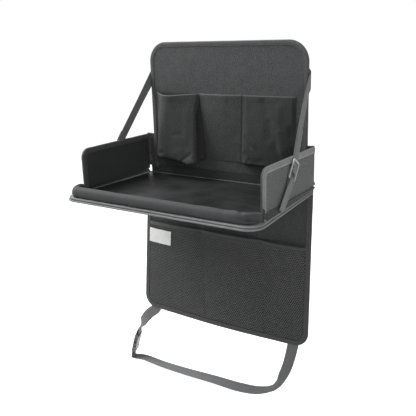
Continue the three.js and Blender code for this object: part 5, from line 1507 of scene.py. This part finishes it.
long_route = [
    ((-0.95, 1.06, 1.6), (0.32, -0.95, 0.05)), ((-0.7, 1.065, 1.2), (0.16, -0.97, 0)),
    ((-0.38, 1.045, 0.8), (0.08, -0.97, -0.1)), ((-0.05, 1.015, 0.6), (0.05, -0.96, -0.2)),
    ((0.25, 1.0, 0.6), (0.05, -0.94, -0.32)), ((0.45, 0.95, 0.7), (0.2, -0.92, -0.2)),
    ((0.58, 0.855, 0.9), (0.5, -0.84, 0.12)), ((0.642, 0.75, 1.0), (0.68, -0.72, 0.12)),
    ((0.685, 0.6, 1.1), (0.9, -0.42, 0)), ((0.725, 0.42, 1.2), (0.97, -0.22, 0)),
    ((0.755, 0.2, 1.1), (1, -0.08, 0)), ((0.775, 0.03, sewn_back), (1, 0, 0)),
    ((0.785, -0.09, sewn_back), (1, 0, 0)), ((0.79, -0.25, sewn_back), (1, 0, 0))]
for label, bar_end, inward, route in (("short", 0.0, 1, short_route),
                                      ("long", buckle_length, -1, long_route)):
    rows = webbing([
        *bar_loop(bottom_at, bottom_across, bar_end, inward),
        *((loop_point(spot), unit(width)) for spot, width in route)], wide_strap, wide_thick)
    strap = make_piece(f"bottom_strap_{label}_webbing", tube(rows), in_row, webbing_finish)
    if label == "short":
        carry(strap, "lower_panel", "webbing", "bottom_strap_short")
    else:
        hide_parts("bottom_strap_long")
        tuple(loop_point((0.3, 1.0, 0.6)) * MM)
        tuple(bottom_at(buckle_length + 12, 0) * MM)
        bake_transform(strap)

# Floor and light: a white sweep under the hanging organizer in a white room, a soft lamp from the top
# left and a weaker one from the front right. Floor and room look brighter than the light they give.


def white_seen(start):
    """Where the camera or a mirror sees a surface"""
    mirrored = start.node("ShaderNodeLightPath", output=3)
    return (start.node("ShaderNodeLightPath", output=0) + mirrored).clamped()


sweep = bpy.data.materials.new("white sweep")
sweep.use_nodes = True
sweep.node_tree.nodes.clear()
start = Wire(sweep.node_tree)
matt = start.node("ShaderNodeBsdfDiffuse", {}, {"Color": (0.8, 0.8, 0.8, 1)})
glow = start.node("ShaderNodeEmission", {}, {"Color": (1, 1, 1, 1), "Strength": 4.85})
mixed = start.node("ShaderNodeMixShader", {}, {0: white_seen(start) * 0.2, 1: matt, 2: glow})
start.node("ShaderNodeOutputMaterial", {}, {"Surface": mixed})
reach, level = 30, -0.489
floor = add_mesh("floor", [(-reach, -reach, level), (reach, -reach, level), (reach, reach, level),
                           (-reach, reach, level)], [], [(0, 1, 2, 3)])
floor.data.materials.append(sweep)

world = bpy.data.worlds.new("studio")
world.use_nodes = True
world.node_tree.nodes.clear()
start = Wire(world.node_tree)
dim, white = (start.node("ShaderNodeBackground", {}, {"Color": (1, 1, 1, 1), "Strength": strength})
              for strength in (0.1, 1.0))
sky = start.node("ShaderNodeMixShader", {}, {0: white_seen(start), 1: dim, 2: white})
start.node("ShaderNodeOutputWorld", {}, {"Surface": sky})
bpy.context.scene.world = world


def lamp(name, place, aim, size, power):
    data = bpy.data.lights.new(name, "AREA")
    data.shape, data.size, data.energy = "SQUARE", size, power
    light = added(name, data)
    light.location = place
    light.rotation_euler = (Vector(aim) - Vector(place)).to_track_quat("-Z", "Y").to_euler()


lamp("top left softbox", (-1.3, -0.4, 1.6), (0, -0.1, 0), 1.2, 63)
lamp("front right fill", (1.5, -1.3, 0.7), (0, -0.1, 0), 1.3, 16)
bpy.context.scene.view_settings.view_transform = "Standard"
